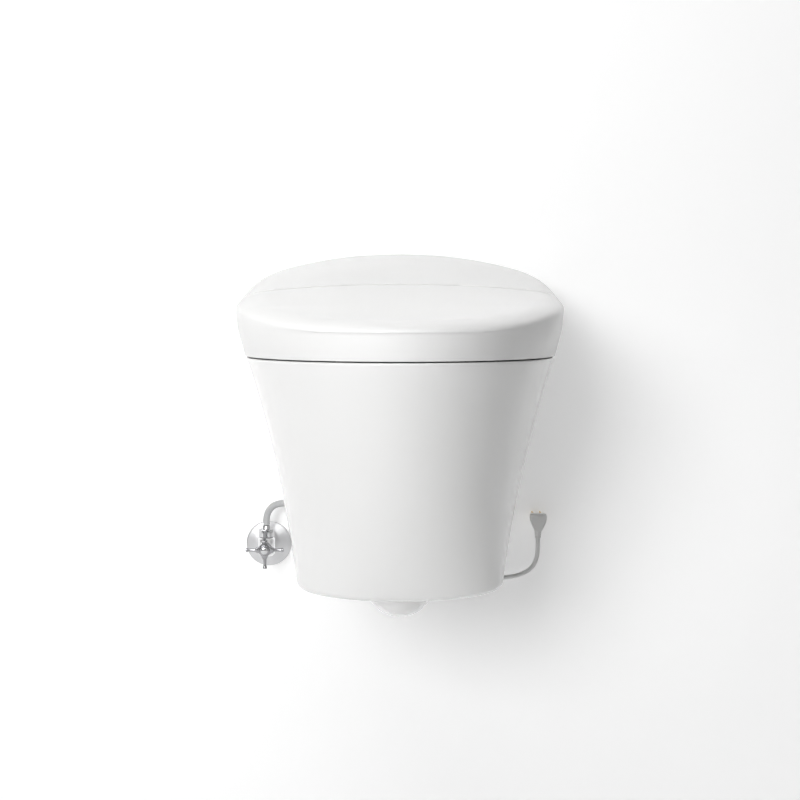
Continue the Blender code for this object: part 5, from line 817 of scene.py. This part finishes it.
for place in BUTTON_PLACES:
    hole = rod(BUTTON_HOLE, (WIDEST_HALF - ROLL, place, BUTTON_HEIGHT),
               (WIDEST_HALF + OVERCUT, place, BUTTON_HEIGHT))
    steps.append((hole, 'DIFFERENCE', 'MANIFOLD'))
cover_mesh = carved(top_form(0.0, SEAM_HEIGHT, -COVER_BACK), steps)
cover = seated("housing_moulding", eased_edges(cover_mesh, 0.0005), moulded, "housing_cover")
print("housing faces:", len(cover.data.polygons))

# %% [markdown]
# ### The pan
#
# The pan is vitreous china: a hollow skirt, a deck, a rear plate with a neck for the
# trap, and the bowl hanging inside. Its plan narrows and moves back towards the foot,
# with a slight belly inward. The foot has a 9 mm radius and the rim a 3.5 mm one.

# %% Sizes of the pan
PAN_TOP = 0.080
PAN_HEIGHT = 0.2967
PAN_FOOT = PAN_TOP - PAN_HEIGHT
PAN_FOOT_HALF = 0.1326
PAN_BELLY = 0.0072
PAN_FOOT_FRONT = 0.4014
PAN_FOOT_CAP = 0.0849
PAN_TAPER_POWER = 0.9445
PAN_WALL = 0.011
PAN_BACK = -0.0033
RIM_ROUND = 0.0035
FOOT_ROUND = 0.009
DECK = 0.014
REAR_PLATE = 0.014
PLATE_DROP = 0.045
NECK_HALF = 0.062
NECK_DROP = 0.150
BOWL_BACK = 0.235
BOWL_FRONT = 0.557
BOWL_HALF = 0.135
BOWL_DEPTH = 0.230
BOWL_WALL = 0.010
BOWL_LIP = 0.005
SUMP_CENTRE = 0.362
BOWL_POWER = 2.3
TRAP_RADIUS = 0.035
TRAP_WALL = 0.010
TRAP_BEND = 0.055
TRAP_BEND_DROP = 0.156
TRAP_RISE = 0.0870
OUTLET_DROP = 0.100
INLET_RISE = 0.035
INLET_RADIUS = 0.0275
INLET_WALL = 0.010
STUD_PLACE = 0.090
STUD_HOLE = 0.009
STUD_DEPTH = 0.018
FEED_PLACE = 0.125
FEED_LINE = -0.0465
FEED_HOLE = 0.0115
NOTCH_REACH = 0.040
NOTCH_FLOOR = -0.1765
NOTCH_ROOF = -0.1355
NOTCH_ROUND = 0.0137
BAY_TILT = 35.0
BAY_FOOT = (0.0, -0.245, 0.078)
# From and to along the bay's slope, from and to above it, and half of its width
BAY_OUTER = (-0.022, 0.060, -0.0275, -0.0095, 0.097)
BAY_INNER = (-0.040, 0.078, -0.0185, 0.050, 0.088)
# Depth share, length share and width share of the bowl at each level
BOWL_SHARES = ((0.00, 1.000, 1.000), (0.15, 0.940, 0.955), (0.35, 0.800, 0.810),
               (0.56, 0.610, 0.610), (0.74, 0.435, 0.450), (0.89, 0.305, 0.345),
               (1.00, 0.235, 0.280))


def pan_loft(inset, levels, back):
    """Plans of the pan stacked at levels of height and extra inset."""
    rings = []
    for height, extra in levels:
        share = min(max((height - PAN_FOOT) / PAN_HEIGHT, 0.0), 1.0)
        half = PAN_FOOT_HALF + (PAN_TOP_HALF - PAN_FOOT_HALF) * share
        half -= 4 * PAN_BELLY * share * (1 - share)
        front = PAN_FOOT_FRONT + (PAN_FRONT - PAN_FOOT_FRONT) * share ** PAN_TAPER_POWER
        cap = PAN_FOOT_CAP + (CAP_DEPTH - PAN_FOOT_CAP) * share ** PAN_TAPER_POWER
        depth = inset + extra
        plan = horseshoe(half - depth, depth - front, cap - depth, back, side_steps=3)
        rings.append([(x, y, height) for x, y in plan])
    return loft(rings)


def oval(centre, half_length, half_width, power, count=96):
    """A closed superellipse in plan."""
    points = []
    for index in range(count):
        angle = math.tau * index / count
        x = math.copysign(abs(math.sin(angle)) ** (2 / power), -math.sin(angle))
        y = math.copysign(abs(math.cos(angle)) ** (2 / power), math.cos(angle))
        points.append((half_width * x, centre + half_length * y))
    return points


# %% Bowl and trap
def bowl_loft(grow, top, lip):
    """The bowl as ovals stacked from the rim to the sump, with a rounded lip."""
    middle = -(BOWL_BACK + BOWL_FRONT) / 2
    length = (BOWL_FRONT - BOWL_BACK) / 2
    levels, _ = smooth_route(BOWL_SHARES, 0.05)
    rings = []

    def ring(depth, long_share, wide_share, height, extra):
        centre = middle + (-SUMP_CENTRE - middle) * depth ** 1.2
        rings.append([(x, y, height) for x, y in
                      oval(centre, length * long_share + grow + extra,
                           BOWL_HALF * wide_share + grow + extra, BOWL_POWER)])

    ring(0.0, 1.0, 1.0, top, lip)
    if lip > 0.0:
        for angle in quarter(6):
            ring(0.0, 1.0, 1.0, PAN_TOP - lip * (1 - math.cos(angle)),
                 lip * (1 - math.sin(angle)))
    for level in levels[1:]:
        height = PAN_TOP - lip - (BOWL_DEPTH - lip) * level.x
        ring(max(level.x, 0.0), level.y, level.z, height, 0.0)
    return loft(rings)


def trap_line(back):
    """The trap's centre line: down, round the bend, up and out to the wall."""
    bend = (-SUMP_CENTRE + TRAP_BEND, -TRAP_BEND_DROP)
    line = [(-SUMP_CENTRE, -TRAP_BEND_DROP + TRAP_WALL)]
    line += arc(bend, TRAP_BEND, 180, 330, 24)
    along = Vector((math.cos(math.radians(60)), math.sin(math.radians(60))))
    crest = Vector(line[-1]) + along * TRAP_RISE
    turn = crest + Vector((along.y, -along.x)) * TRAP_BEND
    line += arc(turn, TRAP_BEND, 150, 90, 10)
    first = line[-1]
    for step in range(1, 11):
        share = step / 10
        ease = share * share * (3 - 2 * share)
        line.append((first[0] + (-TRAP_BEND - first[0]) * share,
                     first[1] + (-OUTLET_DROP - first[1]) * ease))
    line.append((back, -OUTLET_DROP))
    return [Vector((0.0, y, z)) for y, z in line]


def bay_box(u_low, u_high, v_low, v_high, half):
    """A box along the wash bay's slope, placed by its way down and its height."""
    tilt = math.radians(BAY_TILT)
    down = Vector((0.0, -math.cos(tilt), -math.sin(tilt)))
    up = Vector((0.0, -math.sin(tilt), math.cos(tilt)))
    outline = ((u_low, v_low), (u_high, v_low), (u_high, v_high), (u_low, v_high))
    return loft([[Vector(BAY_FOOT) + down * u + up * v + Vector((x, 0.0, 0.0)) for u, v in outline]
                 for x in (-half, half)])


# %% Pan
levels = [(PAN_FOOT + FOOT_ROUND * (1 - math.cos(a)), FOOT_ROUND * (1 - math.sin(a)))
          for a in quarter(6)]
low = PAN_FOOT + FOOT_ROUND
high = PAN_TOP - RIM_ROUND
levels += [(low + (high - low) * step / 28, 0.0) for step in range(1, 28)]
levels += [(high + RIM_ROUND * math.sin(a), RIM_ROUND * (1 - math.cos(a))) for a in quarter(6)]
ceiling = PAN_TOP - DECK
space = [(PAN_FOOT - OVERCUT, 0.0)]
space += [(PAN_FOOT + (ceiling - PAN_FOOT) * step / 10, 0.0) for step in range(1, 11)]
share = (-PLATE_DROP - PAN_FOOT) / PAN_HEIGHT
shoulder = PAN_FOOT_HALF + (PAN_TOP_HALF - PAN_FOOT_HALF) * share
shoulder -= 4 * PAN_BELLY * share * (1 - share) + PAN_WALL / 2
plate_half = PAN_TOP_HALF - PAN_WALL
plate = ((-shoulder, -PLATE_DROP), (-NECK_HALF, -PLATE_DROP), (-NECK_HALF, -NECK_DROP),
         (NECK_HALF, -NECK_DROP), (NECK_HALF, -PLATE_DROP), (shoulder, -PLATE_DROP),
         (plate_half, ceiling + DECK / 2), (-plate_half, ceiling + DECK / 2))
channel = -BOWL_BACK - BOWL_WALL
notch = rounded((PAN_BACK - NOTCH_REACH, NOTCH_FLOOR), (PAN_BACK + NOTCH_REACH, NOTCH_ROOF),
                NOTCH_ROUND)
steps = [
    (pan_loft(PAN_WALL, space, OVERCUT), 'DIFFERENCE'),
    (slab(plate, 'Y', PAN_BACK - REAR_PLATE, PAN_BACK), 'UNION'),
    (bowl_loft(BOWL_WALL, PAN_TOP - DECK / 2, 0.0), 'UNION'),
    (mapped_tube(trap_line(PAN_BACK), TRAP_RADIUS + TRAP_WALL, 64), 'UNION'),
    (rod(INLET_RADIUS + INLET_WALL, (0.0, channel, INLET_RISE), (0.0, PAN_BACK, INLET_RISE)),
     'UNION'),
    (bay_box(*BAY_OUTER), 'UNION'),
    (bowl_loft(0.0, PAN_TOP + OVERCUT, BOWL_LIP), 'DIFFERENCE'),
    (mapped_tube(trap_line(OVERCUT), TRAP_RADIUS, 64), 'DIFFERENCE'),
    (rod(INLET_RADIUS, (0.0, channel - OVERCUT, INLET_RISE), (0.0, OVERCUT, INLET_RISE)),
     'DIFFERENCE'),
    (bay_box(*BAY_INNER), 'DIFFERENCE'),
    (slab(notch, 'X', -PAN_TOP_HALF, -PAN_FOOT_HALF + 2 * PAN_WALL), 'DIFFERENCE'),
]
for side in (-1, 1):
    stud, feed = side * STUD_PLACE, side * FEED_PLACE
    for hole in (
            rod(STUD_HOLE, (stud, PAN_BACK - STUD_DEPTH, 0.0), (stud, PAN_BACK + OVERCUT, 0.0)),
            rod(FEED_HOLE, (feed, FEED_LINE, ceiling - OVERCUT),
                (feed, FEED_LINE, PAN_TOP + OVERCUT))):
        steps.append((hole, 'DIFFERENCE'))
pan_mesh = carved(pan_loft(0.0, levels, PAN_BACK), steps)
pan = seated("glazed_pan", eased_edges(pan_mesh, 0.0012, segments=3), glaze, "pan")
print("pan faces:", len(pan.data.polygons))

# %% [markdown]
# ### The seat
#
# The seat ring's section is flat below and domed above, high near its outer edge and
# falling towards the opening. It is swept from the outer outline to the opening's oval.
# Two lugs carry it on the hinge.

# %% Seat
SEAT_SET = 0.009
SEAT_HALF = PAN_TOP_HALF - SEAT_SET
SEAT_FRONT = PAN_FRONT - SEAT_SET
SEAT_BACK = 0.2815
SEAT_FLOOR = 0.0898
SEAT_THICK = 0.0172
SEAT_CORNER = 0.020
HUB_RADIUS = 0.0125
SHAFT_RADIUS = 0.007
SEAT_POINTS = 220
LUG_INNER = 0.1415
LUG_OUTER = 0.1585
LUG_FOOT = ((-0.314, 0.15), (-0.314, 0.80), (-0.284, 0.15))
SEAT_OPENING = (-0.4275, 0.1225, 0.1035, 2.15)    # centre, half length, half width, power
# Width share and height share of the seat's section, from the outer edge inward
SEAT_SHARES = ((0.0, 0.05), (0.0, 0.50), (0.035, 0.82), (0.13, 1.0), (0.40, 0.98), (0.68, 0.84),
               (0.88, 0.62), (0.97, 0.36), (1.0, 0.05))


def even(points):
    """A closed outline read again at equal steps of its length."""
    closed = [Vector((*p, 0.0)) for p in points] + [Vector((*points[0], 0.0))]
    return [(spot.x, spot.y) for spot in even_steps(closed, walked(closed), SEAT_POINTS)[:-1]]


def hulled(points):
    """The tight skin round a set of points."""
    mesh = bmesh.new()
    spots = [mesh.verts.new(point) for point in points]
    made = bmesh.ops.convex_hull(mesh, input=spots)
    spare = [item for item in made["geom_interior"] if isinstance(item, bmesh.types.BMVert)]
    bmesh.ops.delete(mesh, geom=spare, context='VERTS')
    return flat_joined(mesh)


turn = -SEAT_BACK - SEAT_CORNER
depth = CAP_CENTRE + SEAT_FRONT
outline = horseshoe(SEAT_HALF, -SEAT_FRONT, depth, turn, side_steps=4)
outline = [spot for spot in outline if spot[1] < turn - 0.0003]
corner_half = SEAT_HALF * math.sqrt(1 - ((CAP_CENTRE - turn) / depth) ** 2) - SEAT_CORNER
left, right = [arc((x, turn), SEAT_CORNER, first, last, 10)
               for x, first, last in ((-corner_half, 90, 180), (corner_half, 0, 90))]
outer = even([(0.0, -SEAT_BACK)] + left + outline + right)
inner = even(oval(*SEAT_OPENING, 200))
section = [(0.004, 0.0)] + smooth_outline(SEAT_SHARES, 0.035) + [(0.996, 0.0)]
rings = []
for across, up in section:
    inward = min(max(across, 0.0), 1.0)
    rings.append([(a + (c - a) * inward, b + (d - b) * inward,
                   SEAT_FLOOR + SEAT_THICK * min(up, 1.0))
                  for (a, b), (c, d) in zip(outer, inner)])
steps = []
for side in (-1, 1):
    low, high = sorted((side * LUG_INNER, side * LUG_OUTER))
    rim = arc(HINGE_SIDE, HUB_RADIUS, 0, 360, 64)[:-1]
    foot = [(y, SEAT_FLOOR + SEAT_THICK * up) for y, up in LUG_FOOT]
    lug = hulled([(x, y, z) for x in (low, high) for y, z in rim + foot])
    steps.append((lug, 'UNION'))
    bore = rod(SHAFT_RADIUS + FIT, (low - OVERCUT, *HINGE_SIDE), (high + OVERCUT, *HINGE_SIDE))
    steps.append((bore, 'DIFFERENCE'))
seat_mesh = carved(loft(rings, joined=True), steps)
seat = seated("seat_ring", eased_edges(seat_mesh, 0.0005), seat_white, "seat_top")
print("seat faces:", len(seat.data.polygons))

# %% [markdown]
# ## The stop valve
#
# The supply comes out of the wall through a domed escutcheon into an upright chromed
# body. The hose nut sits on top of it, and the cross handle in front. Turned parts are
# lathed from a profile, whose curved stretches are read from a smooth line.

# %% Escutcheon, valve body and hose nut
STOP_X = -0.2105
STOP_Z = -0.2272
VALVE_REACH = 0.030
TAIL_RADIUS = 0.0095
BODY_RADIUS = 0.0138
BODY_DROP = 0.0128
OUTLET_TOP = 0.0165
OUTLET_RADIUS = 0.0085
BONNET_RADIUS = 0.0105
BONNET_END = 0.0435
NUT_RADIUS = 0.0125
NUT_HEIGHT = 0.013
NUT_CHAMFER = 0.0014
FERRULE_RADIUS = 0.0067
FERRULE_HEIGHT = 0.0055
WATERWAY_RADIUS = 0.006
PACKING_GROWTH = 1.12
ESCUTCHEON_RADIUS = 0.0360
ESCUTCHEON_HEIGHT = 0.0085
# Radius and height along the escutcheon's dome, from its rim to its bore
ESCUTCHEON_DOME = ((0.0360, 0.0008), (0.0358, 0.0018), (0.0348, 0.0026), (0.0325, 0.0033),
                   (0.0280, 0.0046), (0.0220, 0.0064), (0.0160, 0.0078), (0.0118, 0.0084))
TOWARD = (0, -1, 0)
UPWARD = (0, 0, 1)


def off_wall(reach):
    """The point at a distance from the wall on the valve's own line."""
    return Vector((STOP_X, -reach, STOP_Z))


def lifted(place, height):
    """The point at a height above another one."""
    return place + Vector((0.0, 0.0, height))


def hexagon(centre, radius, upright):
    """Six corners round a centre, in an upright or a level plane."""
    return [centre + Vector((a, 0.0, b) if upright else (a, b, 0.0))
            for a, b in arc((0.0, 0.0), radius, 0, 300, 5)]


bore = TAIL_RADIUS + FIT
profile = [(bore, 0.0), (ESCUTCHEON_RADIUS, 0.0)] + smooth_outline(ESCUTCHEON_DOME, 0.0012)
profile += [(bore, ESCUTCHEON_HEIGHT), (bore, 0.0)]
seated("domed_escutcheon", lathe(profile, off_wall(0.0), TOWARD, 96), satin_chrome,
       "valve_escutcheon")

middle = off_wall(VALVE_REACH)
body_top = OUTLET_TOP - 0.0005
profile = ((0.0, -BODY_DROP), (BODY_RADIUS - 0.003, -BODY_DROP), (BODY_RADIUS, 0.003 - BODY_DROP),
           (BODY_RADIUS, OUTLET_TOP - 0.0025), (BODY_RADIUS - 0.002, body_top), (0.0, body_top))
packing_nut = loft([hexagon(off_wall(BONNET_END - inset), BONNET_RADIUS * PACKING_GROWTH, True)
                    for inset in (0.0055, 0.0012)])
thread_end = lifted(middle, OUTLET_TOP + NUT_HEIGHT / 2)
body_mesh = carved(lathe(profile, middle, UPWARD, 72), [
    (rod(TAIL_RADIUS, off_wall(0.0), middle), 'UNION'),
    (rod(BONNET_RADIUS, middle, off_wall(BONNET_END)), 'UNION'),
    (packing_nut, 'UNION'),
    (rod(OUTLET_RADIUS, middle, thread_end), 'UNION'),
    (rod(WATERWAY_RADIUS, off_wall(-OVERCUT), middle), 'DIFFERENCE')])
# The body's paler chrome colour is painted light.
seated("forged_valve_body", eased_edges(body_mesh, 0.0004), painted_light_chrome, "valve_body")

nut_foot = lifted(middle, OUTLET_TOP)
rows = [hexagon(lifted(nut_foot, height), radius, False) for height, radius in (
    (0.0, NUT_RADIUS - NUT_CHAMFER / 2), (NUT_CHAMFER / 2, NUT_RADIUS),
    (NUT_HEIGHT - NUT_CHAMFER / 2, NUT_RADIUS), (NUT_HEIGHT, NUT_RADIUS - NUT_CHAMFER))]
ferrule_top = NUT_HEIGHT + FERRULE_HEIGHT
profile = ((0.0, 0.0), (FERRULE_RADIUS, 0.0), (FERRULE_RADIUS, NUT_HEIGHT + FERRULE_HEIGHT * 0.8),
           (FERRULE_RADIUS - 0.0006, ferrule_top), (0.0, ferrule_top))
nut_bore = rod(OUTLET_RADIUS + FIT, lifted(nut_foot, -OVERCUT), lifted(nut_foot, NUT_HEIGHT * 0.55))
nut_mesh = carved(loft(rows), [(lathe(profile, nut_foot, UPWARD), 'UNION'),
                               (nut_bore, 'DIFFERENCE')])
seated("hose_nut", eased_edges(nut_mesh, 0.0003), chrome, "hose_nut_lower")
print("valve at", tuple(round(v, 4) for v in middle))

# %% [markdown]
# The handle is one casting: a plate with four hollow sides runs out into four slim arms.
# The hollow sides are arcs about points on the diagonals. The arms are bars with a
# small collar at each end, joined to the plate and the stem.

# %% Cross handle and its cap
HANDLE_PLACE = 0.0525
HANDLE_REACH = 0.0295
PLATE_REACH = 0.0140
PLATE_EDGE = 0.0032
HOLLOW_PLACE = 0.0165
PLATE_HALF = 0.0038
ARM_RADIUS = 0.0026
COLLAR_RADIUS = 0.0033
COLLAR_LENGTH = 0.0030
STEM_RADIUS = 0.0045
CAP_RADIUS = 0.0055
CAP_HEIGHT = 0.0022
BOSS_RADIUS = 0.0078
BOSS_HEIGHT = 0.0065
CAP_PLACE = 0.0068

hub = off_wall(HANDLE_PLACE)
hollow_radius = math.hypot(HOLLOW_PLACE - PLATE_REACH, HOLLOW_PLACE - PLATE_EDGE)
opening = math.degrees(math.atan2(PLATE_EDGE - HOLLOW_PLACE, PLATE_REACH - HOLLOW_PLACE))
star = []
for quarter_turn in range(4):
    turn = math.tau * quarter_turn / 4
    spin = Vector((math.cos(turn), math.sin(turn)))
    for a, b in arc((HOLLOW_PLACE, HOLLOW_PLACE), hollow_radius, opening, -270 - opening, 12):
        star.append((hub.x + a * spin.x - b * spin.y, hub.z + a * spin.y + b * spin.x))
arm_end = HANDLE_REACH - COLLAR_LENGTH
bar = [(COLLAR_RADIUS * radius, HANDLE_REACH * height)
       for height, radius in ((-1.0, 0.0), (-1.0, 0.7), (-0.985, 1.0))]
bar += [(COLLAR_RADIUS, -arm_end), (ARM_RADIUS, -arm_end + 0.0008)]
bar += [(radius, -height) for radius, height in reversed(bar)]
boss = ((0.0, 0.0), (BOSS_RADIUS, 0.0), (BOSS_RADIUS, BOSS_HEIGHT - 0.001),
        (BOSS_RADIUS - 0.0008, BOSS_HEIGHT), (0.0, BOSS_HEIGHT))
handle_mesh = carved(slab(star, 'Y', hub.y - PLATE_HALF, hub.y + PLATE_HALF), [
    (lathe(bar, hub, (1, 0, 0), 48), 'UNION'),
    (lathe(bar, hub, UPWARD, 48), 'UNION'),
    (rod(STEM_RADIUS, hub, off_wall(BONNET_END + FIT)), 'UNION'),
    (lathe(boss, hub, TOWARD), 'UNION')])
# The handle's darker chrome colour is painted shade.
handle = seated("cross_handle", eased_edges(handle_mesh, 0.0007, segments=3), painted_shade_chrome,
                "valve_handle")
dome = [(CAP_RADIUS * math.cos(a), CAP_HEIGHT * (0.35 + 0.65 * math.sin(a))) for a in quarter(9)]
cap_foot = off_wall(HANDLE_PLACE + CAP_PLACE)
seated("domed_cap", lathe([(0.0, 0.0), (CAP_RADIUS, 0.0)] + dome, cap_foot, TOWARD), chrome,
       "handle_cap")
print("handle faces:", len(handle.data.polygons))

# %% [markdown]
# ## The plug
#
# The plug's head is shaped like a shield and tapers to a relief of four soft rings that
# keep the cord from kinking. The head is a flat outline with well rounded edges, and the
# relief is lathed about the cord's own line and joined to it.

# %% Plug
PLUG_X = 0.2174
PLUG_TOP = -0.1733
PLUG_HALF = 0.0129
PLUG_FACE = -0.040
PLUG_REAR = -0.0258
CORD_PLANE = -0.031
HEAD_HEIGHT = 0.0266
RELIEF_LENGTH = 0.0125
RELIEF_TIP = 0.0050
RELIEF_WIDE = 0.0060
RELIEF_GROOVE = 0.0008
RELIEF_RINGS = 4
# Half-width share and drop share of the head's right side, from its top corner down
HEAD_SHARES = ((0.72, 0.0), (0.90, 0.025), (0.985, 0.10), (1.0, 0.19), (0.985, 0.33),
               (0.93, 0.47), (0.83, 0.61), (0.69, 0.76), (0.55, 0.89), (0.47, 1.0))

side_line = smooth_outline([(PLUG_HALF * wide, -HEAD_HEIGHT * drop)
                            for wide, drop in HEAD_SHARES], 0.0015)
outline = [(PLUG_X + x, PLUG_TOP + y) for x, y in side_line]
outline += [(PLUG_X - x, PLUG_TOP + y) for x, y in reversed(side_line)]
head = eased_edges(slab(outline, 'Y', PLUG_FACE, PLUG_REAR), 0.0024, 60.0, 4)
profile = [(0.0, 0.0), (RELIEF_TIP - 0.0006, 0.0), (RELIEF_TIP, 0.0006)]
for ring in range(RELIEF_RINGS):
    foot = RELIEF_LENGTH * (ring + 0.25) / RELIEF_RINGS
    radius = RELIEF_TIP + (RELIEF_WIDE - RELIEF_TIP) * ring / (RELIEF_RINGS - 1)
    for turn in range(0, 181, 30):
        groove = RELIEF_GROOVE * (1 - math.sin(math.radians(turn)))
        profile.append((radius - groove, foot + RELIEF_LENGTH * 0.17 * turn / 180))
root = RELIEF_LENGTH + HEAD_HEIGHT * 0.3
profile += [(RELIEF_WIDE - 0.0004, RELIEF_LENGTH), (RELIEF_WIDE - 0.0004, root), (0.0, root)]
relief_foot = (PLUG_X, CORD_PLANE, PLUG_TOP - HEAD_HEIGHT - RELIEF_LENGTH)
plug_mesh = carved(head, [(lathe(profile, relief_foot, UPWARD), 'UNION')])
plug = seated("shield_plug", plug_mesh, cord_white, "plug")
print("plug faces:", len(plug.data.polygons))

# %% [markdown]

# %% [markdown]
# ## The room and the light
#
# The toilet hangs on a plain white wall above a pale floor that lies below the picture.
# The wall is seen from the front only and lets the rear lamp's light through, so the back
# of the toilet can be looked at too. The key lamp stands in front, a little to the left,
# and throws a soft shadow on the wall at the right; the top lamp lights the lid.

# %% Wall and floor
def shown_to(tree, *kinds):
    """One for the named kinds of ray, and nought for the light's own."""
    ray = add_node(tree, "LightPath").outputs
    level = ray[kinds[0]]
    for kind in kinds[1:]:
        level = add_node(tree, "Math", {0: level, 1: ray[kind]}, operation='ADD',
                         use_clamp=True).outputs[0]
    return level


def backdrop(name, one_sided):
    """A large flat square with a pale material that looks white to the camera."""
    mesh = bmesh.new()
    bmesh.ops.create_grid(mesh, x_segments=1, y_segments=1, size=ROOM)
    made = placed(name, mesh_data(name, mesh, smooth=False))
    look = bpy.data.materials.new(name)
    look.use_nodes = True
    tree = look.node_tree
    tree.nodes.clear()
    seen = shown_to(tree, "Is Camera Ray", "Is Glossy Ray", "Is Transmission Ray")
    glow = add_node(tree, "Math", {0: seen, 1: WALL_GLOW}, operation='MULTIPLY').outputs[0]
    paint = add_node(tree, "BsdfDiffuse", {"Color": (0.82, 0.82, 0.82, 1.0)}).outputs[0]
    shine = add_node(tree, "Emission", {"Strength": glow}).outputs[0]
    last = add_node(tree, "AddShader", {0: paint, 1: shine}).outputs[0]
    if one_sided:
        behind = add_node(tree, "NewGeometry").outputs["Backfacing"]
        lit = shown_to(tree, "Is Shadow Ray")
        passed = add_node(tree, "Math", {0: behind, 1: lit}, operation='MAXIMUM').outputs[0]
        clear = add_node(tree, "BsdfTransparent").outputs[0]
        last = add_node(tree, "MixShader", {0: passed, 1: last, 2: clear}).outputs[0]
    add_node(tree, "OutputMaterial", {"Surface": last})
    made.data.materials.append(look)
    return made


ROOM = 4.0
WALL_PLACE = 0.0008
WALL_GLOW = 0.31
FLOOR_DROP = 0.72
wall = backdrop("wall", True)
wall.rotation_euler = (math.radians(90), 0.0, 0.0)
wall.location = (0.0, WALL_PLACE, 0.0)
floor = backdrop("floor", False)
floor.location = (0.0, -ROOM, -FLOOR_DROP)
print("wall and floor in place")

# %% Lamps and world
def lamp(name, place, aim, size, power):
    """A square area lamp that looks at a point."""
    data = bpy.data.lights.new(name, 'AREA')
    data.size = size
    data.energy = power
    made = placed(name, data)
    made.location = place
    made.rotation_euler = (Vector(aim) - Vector(place)).to_track_quat('-Z', 'Y').to_euler()


lamp("key", (-1.15, -2.95, 0.90), (0.0, -0.3, 0.0), 1.2, 61.0)
lamp("top", (-0.4, -1.5, 2.1), (0.0, -0.3, 0.0), 1.6, 15.0)
lamp("rear", (0.7, 2.2, 0.9), (0.0, -0.2, 0.0), 1.8, 18.0)
world = bpy.data.worlds.new("studio")
bpy.context.scene.world = world
world.use_nodes = True
tree = world.node_tree
sky = tree.nodes["Background"].inputs
sky["Color"].default_value = (1.0, 1.0, 1.0, 1.0)
seen = shown_to(tree, "Is Camera Ray", "Is Glossy Ray")
level = add_node(tree, "MapRange", {"Value": seen, "To Min": 0.05, "To Max": 0.40})
tree.links.new(level.outputs["Result"], sky["Strength"])
bpy.context.scene.view_settings.view_transform = 'Standard'
